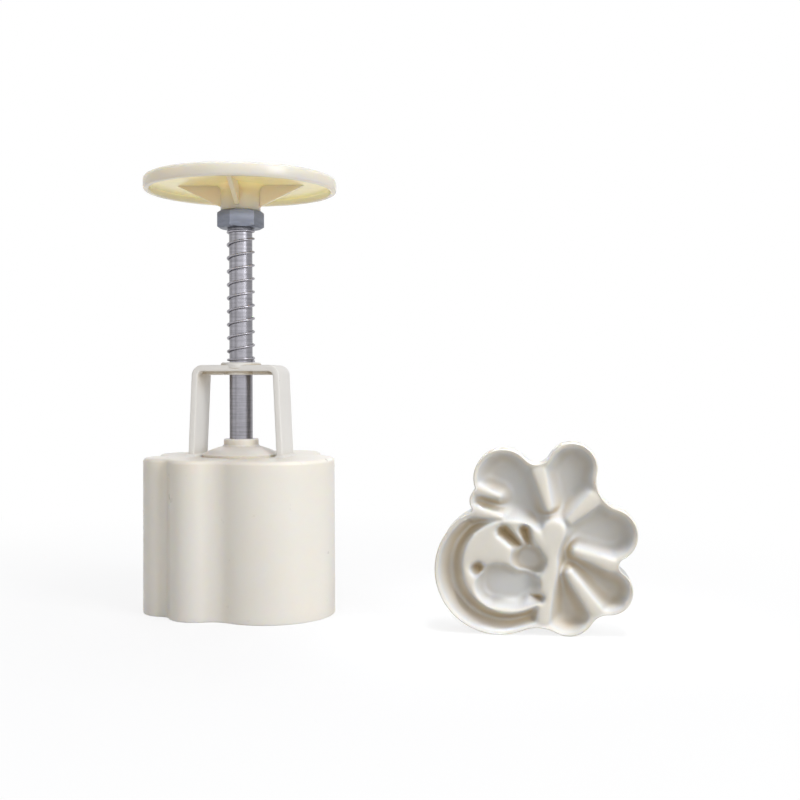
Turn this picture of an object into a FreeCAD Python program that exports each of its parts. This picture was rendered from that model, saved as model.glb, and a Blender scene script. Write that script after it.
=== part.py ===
"""Hand press for mooncakes: a lobed barrel with a yoke, a sprung plunger on a steel rod,
a round palm handle, and the moulded stamp plate that clips under the plunger.

Millimetres. +Z up, origin on the rod's axis at the barrel's mouth. The yoke's legs stand
along X. The stamp is modelled face down, as it is clipped on, and then stood on its edge
beside the press.
"""
import FreeCAD, Part
import math
import os
import Sketcher
from FreeCAD import Rotation, Vector

doc = FreeCAD.newDocument("MooncakePress")

# ---------------------------------------------------------------------------
# Driving dimensions
# ---------------------------------------------------------------------------

SIZES = {
    # barrel
    "barrel_height": 53.0,
    "barrel_wall": 1.6,
    "barrel_top": 2.5,          # thickness of the closed end
    "barrel_edge": 1.0,         # bevel of the upper edge
    "barrel_opening": 13.9,     # radius of the hole that the plunger's dome fills
    "outer_valley": 0.8,        # smallest rounding between two lobes outside
    # yoke
    "yoke_height": 31.5,
    "yoke_width": 31.6,         # over the legs at the top
    "yoke_spread": 1.2,         # how far each leg leans out towards its foot
    "yoke_depth": 13.3,
    "yoke_strap": 2.2,
    "yoke_corner": 3.8,
    "yoke_web_width": 4.5,
    "yoke_web_drop": 1.2,
    "guide_radius": 7.0,        # flange round the rod
    "guide_rise": 0.9,          # how far the flange stands above the strap
    "guide_flange": 2.1,
    "guide_collar": 5.4,        # radius of the collar under the flange
    "guide_gap": 0.08,          # running clearance round the rod
    # rod
    "rod_radius": 4.0,
    "rod_above_nut": 14.0,
    "rod_chamfer": 0.6,
    "spigot_radius": 3.0,
    "spigot_tail": 4.8,         # how far the spigot stands out under the plate
    # plunger
    "running_gap": 0.3,         # between plunger or stamp and the barrel's wall
    "stop_gap": 0.1,            # between plunger and the barrel's closed end at rest
    "plate": 3.0,
    "skirt_depth": 4.0,
    "skirt_wall": 1.6,
    "dome_radius": 13.3,
    "dome_foot": 3.3,           # how far the dome's side reaches above the plate
    "dome_rise": 2.8,
    "boss_radius": 6.0,
    "boss_height": 8.6,         # above the plate
    "shoulder_height": 1.5,     # where the rod's shoulder sits, above the plate
    "socket_radius": 13.0,
    "socket_wall": 1.6,
    "rib_width": 1.4,
    # nut and washer under the plate
    "washer_radius": 6.0,
    "washer_thickness": 1.2,
    "small_nut_flats": 10.0,
    "small_nut_height": 3.2,
    # lock nut and spring
    "nut_flats": 14.0,
    "nut_height": 6.0,
    "nut_turn": 22.5,           # degrees that its flats are turned from the yoke's face
    "spring_length": 46.4,
    "wire": 0.9,
    "spring_gap": 0.1,          # between the coils and the rod
    "spring_seat_gap": 0.05,
    "active_turns": 9.5,
    "closed_turns": 1.0,
    # handle
    "handle_radius": 33.1,
    "handle_rim": 4.6,
    "handle_lip": 2.0,
    "handle_recess": 2.2,
    "handle_crown": 1.3,        # how far the middle of the palm disc stands up
    "handle_flat": 14.0,        # radius of that middle
    "handle_edge": 1.4,
    "hub_radius": 6.9,
    "hub_height": 8.8,
    "hub_flare": 2.8,
    "gusset_reach": 22.0,
    "gusset_width": 1.5,
    "handle_turn": 8.5,         # degrees that its gussets are turned from the yoke's face
    # stamp
    "stamp_thickness": 12.0,
    "stamp_back": 3.5,
    "relief_depth": 6.0,
    "relief_rim": 1.7,
    "collar_wall": 1.6,
    "collar_height": 3.4,       # above the stamp's back edge
    "collar_gap": 0.3,
    "collar_slot": 2.4,         # width of the four slots that let the collar give
    # where the stamp stands
    "stand_x": 104.0,
    "stand_y": -12.0,
    "stand_turn": 4.0,
    # the moon's raised land in the stamp's face
    "moon_land_x": 10.9,
    "moon_land_y": -4.9,
    "moon_land_radius": 13.4,
}

# The outline of the stamp, as lobes: centre x, centre y, radius, and the radius of the
# valley that leads to the next lobe, anticlockwise seen from above.
LOBES = {
    "moon": (12.4, -5.6, 20.1, 1.0),
    "cheek": (17.3, 16.0, 4.3, 1.0),
    "crest": (11.2, 23.1, 9.2, 4.5),
    "crown": (-10.1, 26.5, 7.8, 9.4),
    "wing": (-21.9, 5.9, 8.3, 2.4),
    "heel": (-21.6, -11.6, 7.2, 6.1),
    "foot": (-9.2, -17.6, 8.1, 12.2),
}

# Tapered ridges left standing in the sunk face, between its petals: centre x, y and radius
# of each end.
RIDGES = {
    "heart": (-4.6, 6.6, 3.6, -3.4, 2.0, 2.6),
    "stem": (-3.3, 2.4, 2.4, -1.5, -20.7, 2.0),
    "north": (0.0, 25.1, 2.1, -2.9, 14.4, 1.2),
    "northwest": (-16.6, 16.8, 2.2, -9.6, 10.4, 1.2),
    "west": (-22.0, -3.3, 2.0, -11.6, 0.6, 1.2),
    "southwest": (-17.2, -17.3, 2.2, -9.4, -6.4, 1.2),
    "cheek_low": (19.0, 12.4, 1.6, 11.8, 10.8, 0.8),
    "cheek_high": (18.1, 19.2, 1.5, 12.6, 17.4, 0.8),
}


class Size:
    """A number together with the spreadsheet expression that gives it."""

    def __init__(self, value, text):
        self.value = float(value)
        self.text = text

    def __add__(self, other):
        other = sized(other)
        return Size(self.value + other.value, f"({self.text} + {other.text})")

    def __sub__(self, other):
        other = sized(other)
        return Size(self.value - other.value, f"({self.text} - {other.text})")

    def __mul__(self, other):
        other = sized(other)
        return Size(self.value * other.value, f"({self.text} * {other.text})")

    def __truediv__(self, other):
        other = sized(other)
        return Size(self.value / other.value, f"({self.text} / {other.text})")

    def __neg__(self):
        return Size(-self.value, f"(-1 * {self.text})")


def sized(number):
    """A plain number as a Size, so that both can stand in one sum."""
    return number if isinstance(number, Size) else Size(number, repr(float(number)))


def at_least(size, floor):
    """The larger of two sizes."""
    return Size(max(size.value, floor.value), f"max({size.text}; {floor.text})")


class Sheet:
    """The spreadsheet, whose cells are read as attributes: sheet.barrel_wall."""

    def __init__(self, document):
        self.cells = document.addObject("Spreadsheet::Sheet", "Sizes")
        self.rows = 0

    def write(self, alias, number):
        self.rows += 1
        self.cells.set(f"A{self.rows}", alias)
        self.cells.set(f"B{self.rows}", str(number))
        self.cells.setAlias(f"B{self.rows}", alias)

    def __getattr__(self, alias):
        return Size(self.cells.get(alias), f"Sizes.{alias}")


sheet = Sheet(doc)
for alias, number in SIZES.items():
    sheet.write(alias, number)
for lobe, numbers in LOBES.items():
    for key, number in zip(("x", "y", "radius", "valley"), numbers):
        sheet.write(f"{lobe}_{key}", number)
for ridge, numbers in RIDGES.items():
    for key, number in zip(("x1", "y1", "r1", "x2", "y2", "r2"), numbers):
        sheet.write(f"{ridge}_end_{key}", number)
doc.recompute()

ZERO = sized(0)
UP = Vector(0, 0, 1)

# ---------------------------------------------------------------------------
# Sketches
# ---------------------------------------------------------------------------


def new_body(label):
    body = doc.addObject("PartDesign::Body", label)
    body.Label = label
    return body


def place(body, z, turn=ZERO):
    """Lift a body to its height and turn it about the rod; both stay bound to the sheet."""
    body.setExpression("Placement.Base.z", z.text)
    body.setExpression("Placement.Rotation.Angle", turn.text)


def new_sketch(body, plane="XY_Plane", offset=ZERO):
    """An empty sketch on one of the body's origin planes, moved along its normal."""
    sketch = body.newObject("Sketcher::SketchObject", "Sketch")
    support = next(f for f in body.Origin.OriginFeatures if f.Role == plane)
    sketch.AttachmentSupport = (support, [""])
    sketch.MapMode = "FlatFace"
    sketch.setExpression("AttachmentOffset.Base.z", offset.text)
    return sketch


def bind(sketch, kind, *where_and_size):
    """Add a dimension to a sketch and bind it to its Size."""
    *where, size = where_and_size
    index = sketch.addConstraint(Sketcher.Constraint(kind, *where, size.value))
    name = f"size{index}"
    sketch.renameConstraint(index, name)
    sketch.setExpression(f"Constraints.{name}", size.text)


def pin_point(sketch, edge, end, x, y):
    """Hold one end (1, 2) or the centre (3) of an edge at x, y."""
    bind(sketch, "DistanceX", -1, 1, edge, end, x)
    bind(sketch, "DistanceY", -1, 1, edge, end, y)


def add_circle(sketch, radius, x=ZERO, y=ZERO):
    centre = Vector(x.value, y.value, 0)
    edge = sketch.addGeometry(Part.Circle(centre, UP, radius.value), False)
    pin_point(sketch, edge, 3, x, y)
    bind(sketch, "Radius", edge, radius)
    return edge


def add_arc(sketch, centre, radius, start, end):
    """A counter-clockwise arc; returns its edge number."""
    circle = Part.Circle(Vector(centre[0], centre[1], 0), UP, radius)
    if end < start:
        end += 2 * math.pi
    return sketch.addGeometry(Part.ArcOfCircle(circle, start, end), False)


def add_polygon(sketch, points, domes=()):
    """A closed outline through points given as pairs of Sizes. The side that starts at a
    point listed in domes is an arc centred on the sketch's vertical axis."""
    count = len(points)
    sides = []
    for i, start in enumerate(points):
        end = points[(i + 1) % count]
        first = Vector(start[0].value, start[1].value, 0)
        last = Vector(end[0].value, end[1].value, 0)
        if i in domes:
            centre_y = (last.dot(last) - first.dot(first)) / (2 * (last.y - first.y))
            centre = Vector(0, centre_y, 0)
            angles = [math.atan2(p.y - centre.y, p.x) for p in (first, last)]
            flipped = angles[0] > angles[1]
            edge = add_arc(sketch, centre, (first - centre).Length, *sorted(angles))
            sides.append((edge, 2 if flipped else 1, 1 if flipped else 2))
            bind(sketch, "DistanceX", -1, 1, edge, 3, ZERO)
        else:
            edge = sketch.addGeometry(Part.LineSegment(first, last), False)
            sides.append((edge, 1, 2))
    for i, (edge, start, end) in enumerate(sides):
        after = sides[(i + 1) % count]
        sketch.addConstraint(Sketcher.Constraint("Coincident", edge, end, after[0], after[1]))
        pin_point(sketch, edge, start, *points[i])


def add_box(sketch, x1, x2, y1, y2):
    add_polygon(sketch, [(x1, y1), (x2, y1), (x2, y2), (x1, y2)])


def add_hexagon(sketch, flats):
    """A hexagon with two flats across Y."""
    corner = flats / math.sqrt(3)
    half = corner / 2
    side = flats / 2
    ring = [(corner, ZERO), (half, side), (-half, side), (-corner, ZERO), (-half, -side), (half, -side)]
    add_polygon(sketch, ring)


def valley_centre(a, b, valley):
    """Centre of the circle of radius valley that touches lobes a and b from outside,
    on the right of the way from a to b."""
    reach_a = a[2] + valley
    reach_b = b[2] + valley
    dx = b[0] - a[0]
    dy = b[1] - a[1]
    span = math.hypot(dx, dy)
    along = (reach_a ** 2 - reach_b ** 2 + span ** 2) / (2 * span)
    aside = math.sqrt(reach_a ** 2 - along ** 2)
    x = a[0] + (dx * along + dy * aside) / span
    y = a[1] + (dy * along - dx * aside) / span
    return x, y


def angle_from(centre, point):
    return math.atan2(point[1] - centre[1], point[0] - centre[0])


def add_outline(sketch, outset=ZERO, sharpest=ZERO):
    """The lobed outline, moved outwards by outset (inwards if it is negative): lobes
    joined by tangent valleys, none of them with a smaller radius than sharpest."""
    names = list(LOBES)
    lobes = []
    valleys = []
    for name in names:
        x, y, radius, valley = (getattr(sheet, f"{name}_{k}") for k in ("x", "y", "radius", "valley"))
        lobes.append((x, y, radius + outset))
        valleys.append(at_least(valley - outset, sharpest))
    count = len(names)
    rounds = [tuple(size.value for size in lobe) for lobe in lobes]
    hollows = []
    for i in range(count):
        hollows.append(valley_centre(rounds[i], rounds[(i + 1) % count], valleys[i].value))
    chain = []
    for i in range(count):
        lobe = rounds[i]
        start = angle_from(lobe, hollows[i - 1])
        end = angle_from(lobe, hollows[i])
        edge = add_arc(sketch, lobe, lobe[2], start, end)
        pin_point(sketch, edge, 3, lobes[i][0], lobes[i][1])
        bind(sketch, "Radius", edge, lobes[i][2])
        chain.append((edge, 1, 2))
        hollow = hollows[i]
        start = angle_from(hollow, rounds[(i + 1) % count])
        end = angle_from(hollow, lobe)
        edge = add_arc(sketch, hollow, valleys[i].value, start, end)
        bind(sketch, "Radius", edge, valleys[i])
        chain.append((edge, 2, 1))
    for (edge, start, end), after in zip(chain, chain[1:] + chain[:1]):
        sketch.addConstraint(Sketcher.Constraint("Tangent", edge, end, after[0], after[1]))


def add_ridge(sketch, name):
    """A tapered outline: two rounds and their common tangents."""
    x1, y1, r1, x2, y2, r2 = (getattr(sheet, f"{name}_end_{k}") for k in ("x1", "y1", "r1", "x2", "y2", "r2"))
    dx = x2.value - x1.value
    dy = y2.value - y1.value
    heading = math.atan2(dy, dx)
    lean = math.acos((r1.value - r2.value) / math.hypot(dx, dy))
    sides = (heading + lean, heading - lean)
    near = add_arc(sketch, (x1.value, y1.value), r1.value, sides[0], sides[1] + 2 * math.pi)
    far = add_arc(sketch, (x2.value, y2.value), r2.value, sides[1], sides[0])
    rims = []
    for side in sides:
        toward = Vector(math.cos(side), math.sin(side), 0)
        first = Vector(x1.value, y1.value, 0) + toward * r1.value
        last = Vector(x2.value, y2.value, 0) + toward * r2.value
        rims.append(sketch.addGeometry(Part.LineSegment(first, last), False))
    for edge, x, y, radius in ((near, x1, y1, r1), (far, x2, y2, r2)):
        pin_point(sketch, edge, 3, x, y)
        bind(sketch, "Radius", edge, radius)
    for edge, end, rim, rim_end in ((near, 1, rims[0], 1), (near, 2, rims[1], 1),
                                    (far, 2, rims[0], 2), (far, 1, rims[1], 2)):
        sketch.addConstraint(Sketcher.Constraint("Tangent", edge, end, rim, rim_end))


# ---------------------------------------------------------------------------
# Features
# ---------------------------------------------------------------------------


def add_feature(body, kind, sketch):
    feature = body.newObject(f"PartDesign::{kind}", kind)
    feature.Profile = sketch
    return feature


def pad(body, sketch, length, downwards=False, both_ways=False):
    feature = add_feature(body, "Pad", sketch)
    feature.setExpression("Length", length.text)
    feature.Reversed = downwards
    feature.Midplane = both_ways
    doc.recompute()
    return feature


def pocket(body, sketch, depth, upwards=False, both_ways=False):
    """Cut a sketch into the body; the volume has to fall."""
    before = body.Shape.Volume
    feature = add_feature(body, "Pocket", sketch)
    feature.setExpression("Length", depth.text)
    feature.Reversed = upwards
    feature.Midplane = both_ways
    doc.recompute()
    if body.Shape.Volume >= before:
        raise RuntimeError(f"{body.Label}: {feature.Name} cuts nothing")
    return feature


def revolve(body, sketch, kind="Revolution"):
    """Turn a sketch on the XZ plane about the body's Z axis."""
    feature = add_feature(body, kind, sketch)
    feature.ReferenceAxis = (sketch, ["V_Axis"])
    feature.Angle = 360
    doc.recompute()
    return feature


def polar(body, feature, count):
    """Repeat a feature about the body's Z axis."""
    pattern = body.newObject("PartDesign::PolarPattern", "PolarPattern")
    pattern.Originals = [feature]
    axis = next(f for f in body.Origin.OriginFeatures if f.Role == "Z_Axis")
    pattern.Axis = (axis, [""])
    pattern.Angle = 360
    pattern.Occurrences = count
    body.Tip = pattern
    doc.recompute()
    return pattern


def dress(body, kind, size, chosen):
    """Fillet or Chamfer the edges of the body that the test chosen picks."""
    base = body.Tip
    names = [f"Edge{i + 1}" for i, edge in enumerate(base.Shape.Edges) if chosen(edge)]
    if not names:
        raise RuntimeError(f"{body.Label}: no edge to dress")
    feature = body.newObject(f"PartDesign::{kind}", kind)
    feature.Base = (base, names)
    feature.setExpression("Radius" if kind == "Fillet" else "Size", size.text)
    doc.recompute()
    return feature


def lies_at(edge, z):
    return abs(edge.BoundBox.ZMin - z) < 1e-4 and abs(edge.BoundBox.ZMax - z) < 1e-4


# ---------------------------------------------------------------------------
# Pieces
# ---------------------------------------------------------------------------

FAR = sized(60)                 # longer than any piece is wide: for cuts that go right through
RUNS_PER_TURN = 16
WIRE_SIDES = 6

plate_top = sheet.barrel_height - sheet.barrel_top - sheet.stop_gap
strap_top = sheet.barrel_height + sheet.yoke_height
guide_top = strap_top + sheet.guide_rise
nut_seat = guide_top + sheet.spring_length
hub_seat = nut_seat + sheet.nut_height
shoulder = plate_top + sheet.shoulder_height


def make_barrel():
    """Lobed sleeve, open below, closed above but for the round opening."""
    body = new_body("barrel")
    outside = new_sketch(body)
    add_outline(outside, sheet.running_gap + sheet.barrel_wall, sheet.outer_valley)
    pad(body, outside, sheet.barrel_height)
    top = sheet.barrel_height.value
    dress(body, "Chamfer", sheet.barrel_edge, lambda edge: lies_at(edge, top))
    cavity = new_sketch(body)
    add_outline(cavity, sheet.running_gap)
    pocket(body, cavity, sheet.barrel_height - sheet.barrel_top, upwards=True)
    opening = new_sketch(body)
    add_circle(opening, sheet.barrel_opening)
    pocket(body, opening, sheet.barrel_height, upwards=True)
    return body


def make_yoke():
    """Strap bent over the opening, with a flanged guide for the rod."""
    body = new_body("yoke")
    place(body, sheet.barrel_height)
    top = sheet.yoke_height
    half_top = sheet.yoke_width / 2
    half_foot = half_top + sheet.yoke_spread
    under = top - sheet.yoke_strap
    strap = new_sketch(body, "XZ_Plane")
    add_polygon(strap, [
        (half_foot, ZERO), (half_top, top), (-half_top, top), (-half_foot, ZERO),
        (sheet.yoke_strap - half_foot, ZERO), (sheet.yoke_strap - half_top, under),
        (half_top - sheet.yoke_strap, under), (half_foot - sheet.yoke_strap, ZERO)])
    pad(body, strap, sheet.yoke_depth, both_ways=True)
    outer = sheet.yoke_corner

    def outside_corner(edge):
        return lies_at(edge, top.value) and edge.BoundBox.XLength < 1e-6

    def inside_corner(edge):
        return lies_at(edge, under.value) and edge.BoundBox.XLength < 1e-6

    dress(body, "Fillet", outer, outside_corner)
    dress(body, "Fillet", outer - sheet.yoke_strap, inside_corner)
    web = new_sketch(body, "XZ_Plane")
    add_box(web, sheet.yoke_strap - half_top, half_top - sheet.yoke_strap,
            under - sheet.yoke_web_drop, under)
    pad(body, web, sheet.yoke_web_width, both_ways=True)
    flange = new_sketch(body, offset=top + sheet.guide_rise)
    add_circle(flange, sheet.guide_radius)
    pad(body, flange, sheet.guide_flange, downwards=True)
    collar = new_sketch(body, offset=top)
    add_circle(collar, sheet.guide_collar)
    pad(body, collar, sheet.yoke_strap + sheet.yoke_web_drop, downwards=True)
    bore = new_sketch(body, offset=top + sheet.guide_rise)
    add_circle(bore, sheet.rod_radius + sheet.guide_gap)
    pocket(body, bore, sheet.yoke_height)
    return body


def make_plunger():
    """Lobed plate with a domed boss above, and a skirt, ribs and the stamp's socket below."""
    body = new_body("plunger")
    place(body, plate_top)
    plate = new_sketch(body)
    add_outline(plate)
    pad(body, plate, sheet.plate, downwards=True)

    dome = new_sketch(body, "XZ_Plane")
    shelf = sheet.dome_foot
    add_polygon(dome, [
        (ZERO, -sheet.plate), (sheet.dome_radius, -sheet.plate), (sheet.dome_radius, shelf),
        (sheet.boss_radius, shelf + sheet.dome_rise), (sheet.boss_radius, sheet.boss_height),
        (ZERO, sheet.boss_height)], domes=(2,))
    revolve(body, dome)

    floor = -sheet.plate
    rib = new_sketch(body, offset=floor)
    add_box(rib, ZERO, FAR, -sheet.rib_width / 2, sheet.rib_width / 2)
    ribs = pad(body, rib, sheet.skirt_depth, downwards=True)
    polar(body, ribs, 8)
    wall = new_sketch(body, offset=floor)
    add_circle(wall, sheet.socket_radius + sheet.socket_wall)
    pad(body, wall, sheet.skirt_depth, downwards=True)
    skirt = new_sketch(body, offset=floor)
    add_outline(skirt)
    add_outline(skirt, -sheet.skirt_wall)
    pad(body, skirt, sheet.skirt_depth, downwards=True)
    trim = new_sketch(body, offset=floor)
    add_box(trim, -FAR - 5, FAR + 5, -FAR - 5, FAR + 5)
    add_outline(trim)
    pocket(body, trim, sheet.skirt_depth)
    socket = new_sketch(body, offset=floor)
    add_circle(socket, sheet.socket_radius)
    pocket(body, socket, sheet.skirt_depth)

    seat = new_sketch(body, offset=sheet.boss_height)
    add_circle(seat, sheet.rod_radius)
    pocket(body, seat, sheet.boss_height - sheet.shoulder_height)
    through = new_sketch(body, offset=sheet.boss_height)
    add_circle(through, sheet.spigot_radius)
    pocket(body, through, sheet.boss_height + sheet.plate)
    return body


def make_rod():
    """Round steel rod with a shouldered spigot below and a chamfered upper end."""
    body = new_body("rod")
    place(body, shoulder)
    length = nut_seat + sheet.rod_above_nut - shoulder
    tail = sheet.shoulder_height + sheet.plate + sheet.spigot_tail
    profile = new_sketch(body, "XZ_Plane")
    add_polygon(profile, [
        (ZERO, -tail), (sheet.spigot_radius - sheet.rod_chamfer, -tail),
        (sheet.spigot_radius, sheet.rod_chamfer - tail), (sheet.spigot_radius, ZERO),
        (sheet.rod_radius, ZERO), (sheet.rod_radius, length - sheet.rod_chamfer),
        (sheet.rod_radius - sheet.rod_chamfer, length), (ZERO, length)])
    revolve(body, profile)
    return body


def make_nut(label, flats, height, bore, seat, turn=ZERO):
    """Hexagon nut, both ends chamfered, standing on the height seat."""
    body = new_body(label)
    place(body, seat, turn)
    hexagon = new_sketch(body)
    add_hexagon(hexagon, flats)
    pad(body, hexagon, height)
    corner = flats / math.sqrt(3)
    flat = flats / 2
    slope = math.tan(math.radians(30))
    drop = (corner - flat) * slope
    over = corner + 1
    drop_over = (over - flat) * slope
    for end, inward in ((ZERO, 1), (height, -1)):
        chamfer = new_sketch(body, "XZ_Plane")
        add_polygon(chamfer, [(flat, end), (over, end), (over, end + drop_over * inward)])
        revolve(body, chamfer, "Groove")
    hole = new_sketch(body)
    add_circle(hole, bore)
    pocket(body, hole, height, upwards=True)
    return body


def make_washer():
    body = new_body("plunger_washer")
    place(body, plate_top - sheet.plate)
    ring = new_sketch(body)
    add_circle(ring, sheet.washer_radius)
    add_circle(ring, sheet.spigot_radius)
    pad(body, ring, sheet.washer_thickness, downwards=True)
    return body


def make_handle():
    """Round palm disc with a turned-down rim, a flared hub and four gussets."""
    body = new_body("handle")
    place(body, hub_seat, sheet.handle_turn)
    roof = sheet.hub_height
    rim_foot = roof - sheet.handle_recess
    rim_top = rim_foot + sheet.handle_rim
    crown = rim_top + sheet.handle_crown
    inner = sheet.handle_radius - sheet.handle_lip
    profile = new_sketch(body, "XZ_Plane")
    add_polygon(profile, [
        (ZERO, ZERO), (sheet.hub_radius, ZERO), (sheet.hub_radius, roof), (inner, roof),
        (inner, rim_foot), (sheet.handle_radius, rim_foot),
        (sheet.handle_radius, rim_top - sheet.handle_edge),
        (sheet.handle_radius - sheet.handle_edge, rim_top), (sheet.handle_flat, crown),
        (ZERO, crown)])
    revolve(body, profile)
    gusset = new_sketch(body, "XZ_Plane")
    add_polygon(gusset, [
        (sheet.rod_radius, roof), (sheet.rod_radius, sheet.hub_flare),
        (sheet.hub_radius, sheet.hub_flare), (sheet.gusset_reach, roof)])
    gussets = pad(body, gusset, sheet.gusset_width, both_ways=True)
    polar(body, gussets, 4)
    bore = new_sketch(body)
    add_circle(bore, sheet.rod_radius)
    pocket(body, bore, sheet.rod_above_nut - sheet.nut_height, upwards=True)
    return body


def make_spring():
    """Wire coiled with one closed turn at each end. It repeats often, so straight runs
    and a six-sided wire keep its mesh light."""
    wire = sheet.wire.value
    coil = sheet.rod_radius.value + sheet.spring_gap.value + wire / 2
    closed = sheet.closed_turns.value
    turns = sheet.active_turns.value + 2 * closed
    length = sheet.spring_length.value - wire - 2 * sheet.spring_seat_gap.value
    closed_rise = closed * wire * 1.05

    def point(turn):
        """The wire's middle after so many turns."""
        if turn < closed:
            z = closed_rise * turn / closed
        elif turn > turns - closed:
            z = length - closed_rise * (turns - turn) / closed
        else:
            z = closed_rise + (length - 2 * closed_rise) * (turn - closed) / (turns - 2 * closed)
        angle = 2 * math.pi * turn
        return Vector(coil * math.cos(angle), coil * math.sin(angle), z)

    runs = round(turns * RUNS_PER_TURN)
    path = Part.makePolygon([point(turns * i / runs) for i in range(runs + 1)])
    ring = []
    for i in range(WIRE_SIDES + 1):
        angle = 2 * math.pi * (i + 0.5) / WIRE_SIDES
        ring.append(Vector(coil + math.cos(angle) * wire / 2, 0, math.sin(angle) * wire / 2))
    spring = doc.addObject("Part::Feature", "spring")
    spring.Label = "spring"
    spring.Shape = path.makePipeShell([Part.makePolygon(ring)], True, True, 1)
    seat = guide_top.value + sheet.spring_seat_gap.value + wire / 2
    spring.Placement.Base = Vector(0, 0, seat)
    return spring


def make_stamp():
    """Stamp plate: a sunk face with a moon's land and ridges left standing in it, a ribbed
    back, and the slotted collar that clips into the plunger's socket. Built face down, then
    stood on edge."""
    body = new_body("stamp")
    block = new_sketch(body)
    add_outline(block)
    pad(body, block, sheet.stamp_thickness, downwards=True)
    back = new_sketch(body)
    add_outline(back, -sheet.skirt_wall)
    pocket(body, back, sheet.stamp_back)
    web = -sheet.stamp_back
    rib = new_sketch(body, offset=web)
    add_box(rib, ZERO, FAR, -sheet.rib_width / 2, sheet.rib_width / 2)
    ribs = pad(body, rib, sheet.stamp_back)
    polar(body, ribs, 8)
    trim = new_sketch(body)
    add_box(trim, -FAR - 5, FAR + 5, -FAR - 5, FAR + 5)
    add_outline(trim)
    pocket(body, trim, sheet.stamp_back)
    collar_radius = sheet.socket_radius - sheet.collar_gap
    collar = new_sketch(body, offset=web)
    add_circle(collar, collar_radius)
    pad(body, collar, sheet.stamp_back + sheet.collar_height)
    hollow = new_sketch(body, offset=sheet.collar_height)
    add_circle(hollow, collar_radius - sheet.collar_wall)
    pocket(body, hollow, sheet.stamp_back + sheet.collar_height)
    slot = new_sketch(body, offset=sheet.collar_height)
    slot.AttachmentOffset.Rotation = Rotation(UP, 22.5)
    half_slot = sheet.collar_slot / 2
    add_box(slot, collar_radius - sheet.collar_wall - 1, collar_radius + 1, -half_slot, half_slot)
    slots = pocket(body, slot, sheet.collar_height)
    polar(body, slots, 4)

    face = -sheet.stamp_thickness
    sunk = new_sketch(body, offset=face)
    add_outline(sunk, -sheet.relief_rim)
    pocket(body, sunk, sheet.relief_depth, upwards=True)
    land = new_sketch(body, offset=face)
    add_circle(land, sheet.moon_land_radius, sheet.moon_land_x, sheet.moon_land_y)
    pad(body, land, sheet.relief_depth)
    for name in RIDGES:
        ridge = new_sketch(body, offset=face)
        add_ridge(ridge, name)
        pad(body, ridge, sheet.relief_depth)

    turn = Rotation(Vector(0, 0, 1), 180 + sheet.stand_turn.value) * Rotation(Vector(1, 0, 0), 90)
    lift = sheet.moon_radius.value - sheet.moon_y.value
    body.Placement = FreeCAD.Placement(Vector(sheet.stand_x.value, sheet.stand_y.value, lift), turn)
    return body


def build():
    pieces = [
        make_barrel(), make_yoke(), make_plunger(), make_rod(), make_spring(),
        make_nut("lock_nut", sheet.nut_flats, sheet.nut_height, sheet.rod_radius, nut_seat,
                 sheet.nut_turn),
        make_washer(),
        make_nut("plunger_nut", sheet.small_nut_flats, sheet.small_nut_height,
                 sheet.spigot_radius,
                 plate_top - sheet.plate - sheet.washer_thickness - sheet.small_nut_height),
        make_handle(), make_stamp(),
    ]
    doc.recompute()
    for item in doc.Objects:
        if "Invalid" in item.State or "Error" in item.State:
            raise RuntimeError(f"{item.Label}: {item.State}")
    os.makedirs("parts", exist_ok=True)
    for piece in pieces:
        shape = piece.Shape
        if shape.isNull() or not shape.isValid() or not shape.Solids:
            raise RuntimeError(f"{piece.Label}: no valid solid")
        shape.exportStep(f"parts/{piece.Label}.step")
        box = shape.BoundBox
        print(f"{piece.Label:15s} solids {len(shape.Solids)} faces {len(shape.Faces):4d} "
              f"volume {shape.Volume:9.1f} z {box.ZMin:7.2f} {box.ZMax:7.2f} "
              f"x {box.XMin:7.2f} {box.XMax:7.2f} y {box.YMin:7.2f} {box.YMax:7.2f}")


build()
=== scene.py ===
"""Looks of a sprung hand press for mooncakes and of its loose stamp plate.

Lengths are millimetres until mesh_object(), a node tree or the stage takes them in metres.
"""

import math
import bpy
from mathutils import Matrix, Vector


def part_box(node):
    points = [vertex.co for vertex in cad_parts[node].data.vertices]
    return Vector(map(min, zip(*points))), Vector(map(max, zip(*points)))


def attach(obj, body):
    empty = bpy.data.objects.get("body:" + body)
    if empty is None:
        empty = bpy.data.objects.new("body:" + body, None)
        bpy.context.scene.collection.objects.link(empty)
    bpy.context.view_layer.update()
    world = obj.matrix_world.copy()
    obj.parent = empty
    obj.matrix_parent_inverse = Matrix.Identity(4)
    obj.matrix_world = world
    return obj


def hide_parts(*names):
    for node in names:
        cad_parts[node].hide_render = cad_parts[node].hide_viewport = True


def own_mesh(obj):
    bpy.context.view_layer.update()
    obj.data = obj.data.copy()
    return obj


bl_info = {
    "name": "Mooncake press",
    "version": (1, 0, 0),
    "blender": (4, 5, 0),
    "location": "View3D > Sidebar > Press",
    "description": "Builds the moulded, turned and coiled pieces of a mooncake press",
    "category": "Object",
}

import bmesh
import bpy
import numpy as np
from mathutils import Matrix, Vector
from mathutils.geometry import delaunay_2d_cdt

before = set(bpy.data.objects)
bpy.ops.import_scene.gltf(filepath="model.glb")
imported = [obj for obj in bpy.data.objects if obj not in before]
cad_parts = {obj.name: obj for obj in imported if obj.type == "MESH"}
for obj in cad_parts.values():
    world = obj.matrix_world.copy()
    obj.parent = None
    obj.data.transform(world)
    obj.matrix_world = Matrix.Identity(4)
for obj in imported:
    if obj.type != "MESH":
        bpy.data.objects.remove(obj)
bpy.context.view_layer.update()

METRE = 1000.0


def heights(node):
    """Height of a solid's foot and top, in millimetres."""
    return [(point * METRE).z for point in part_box(node)]


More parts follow.
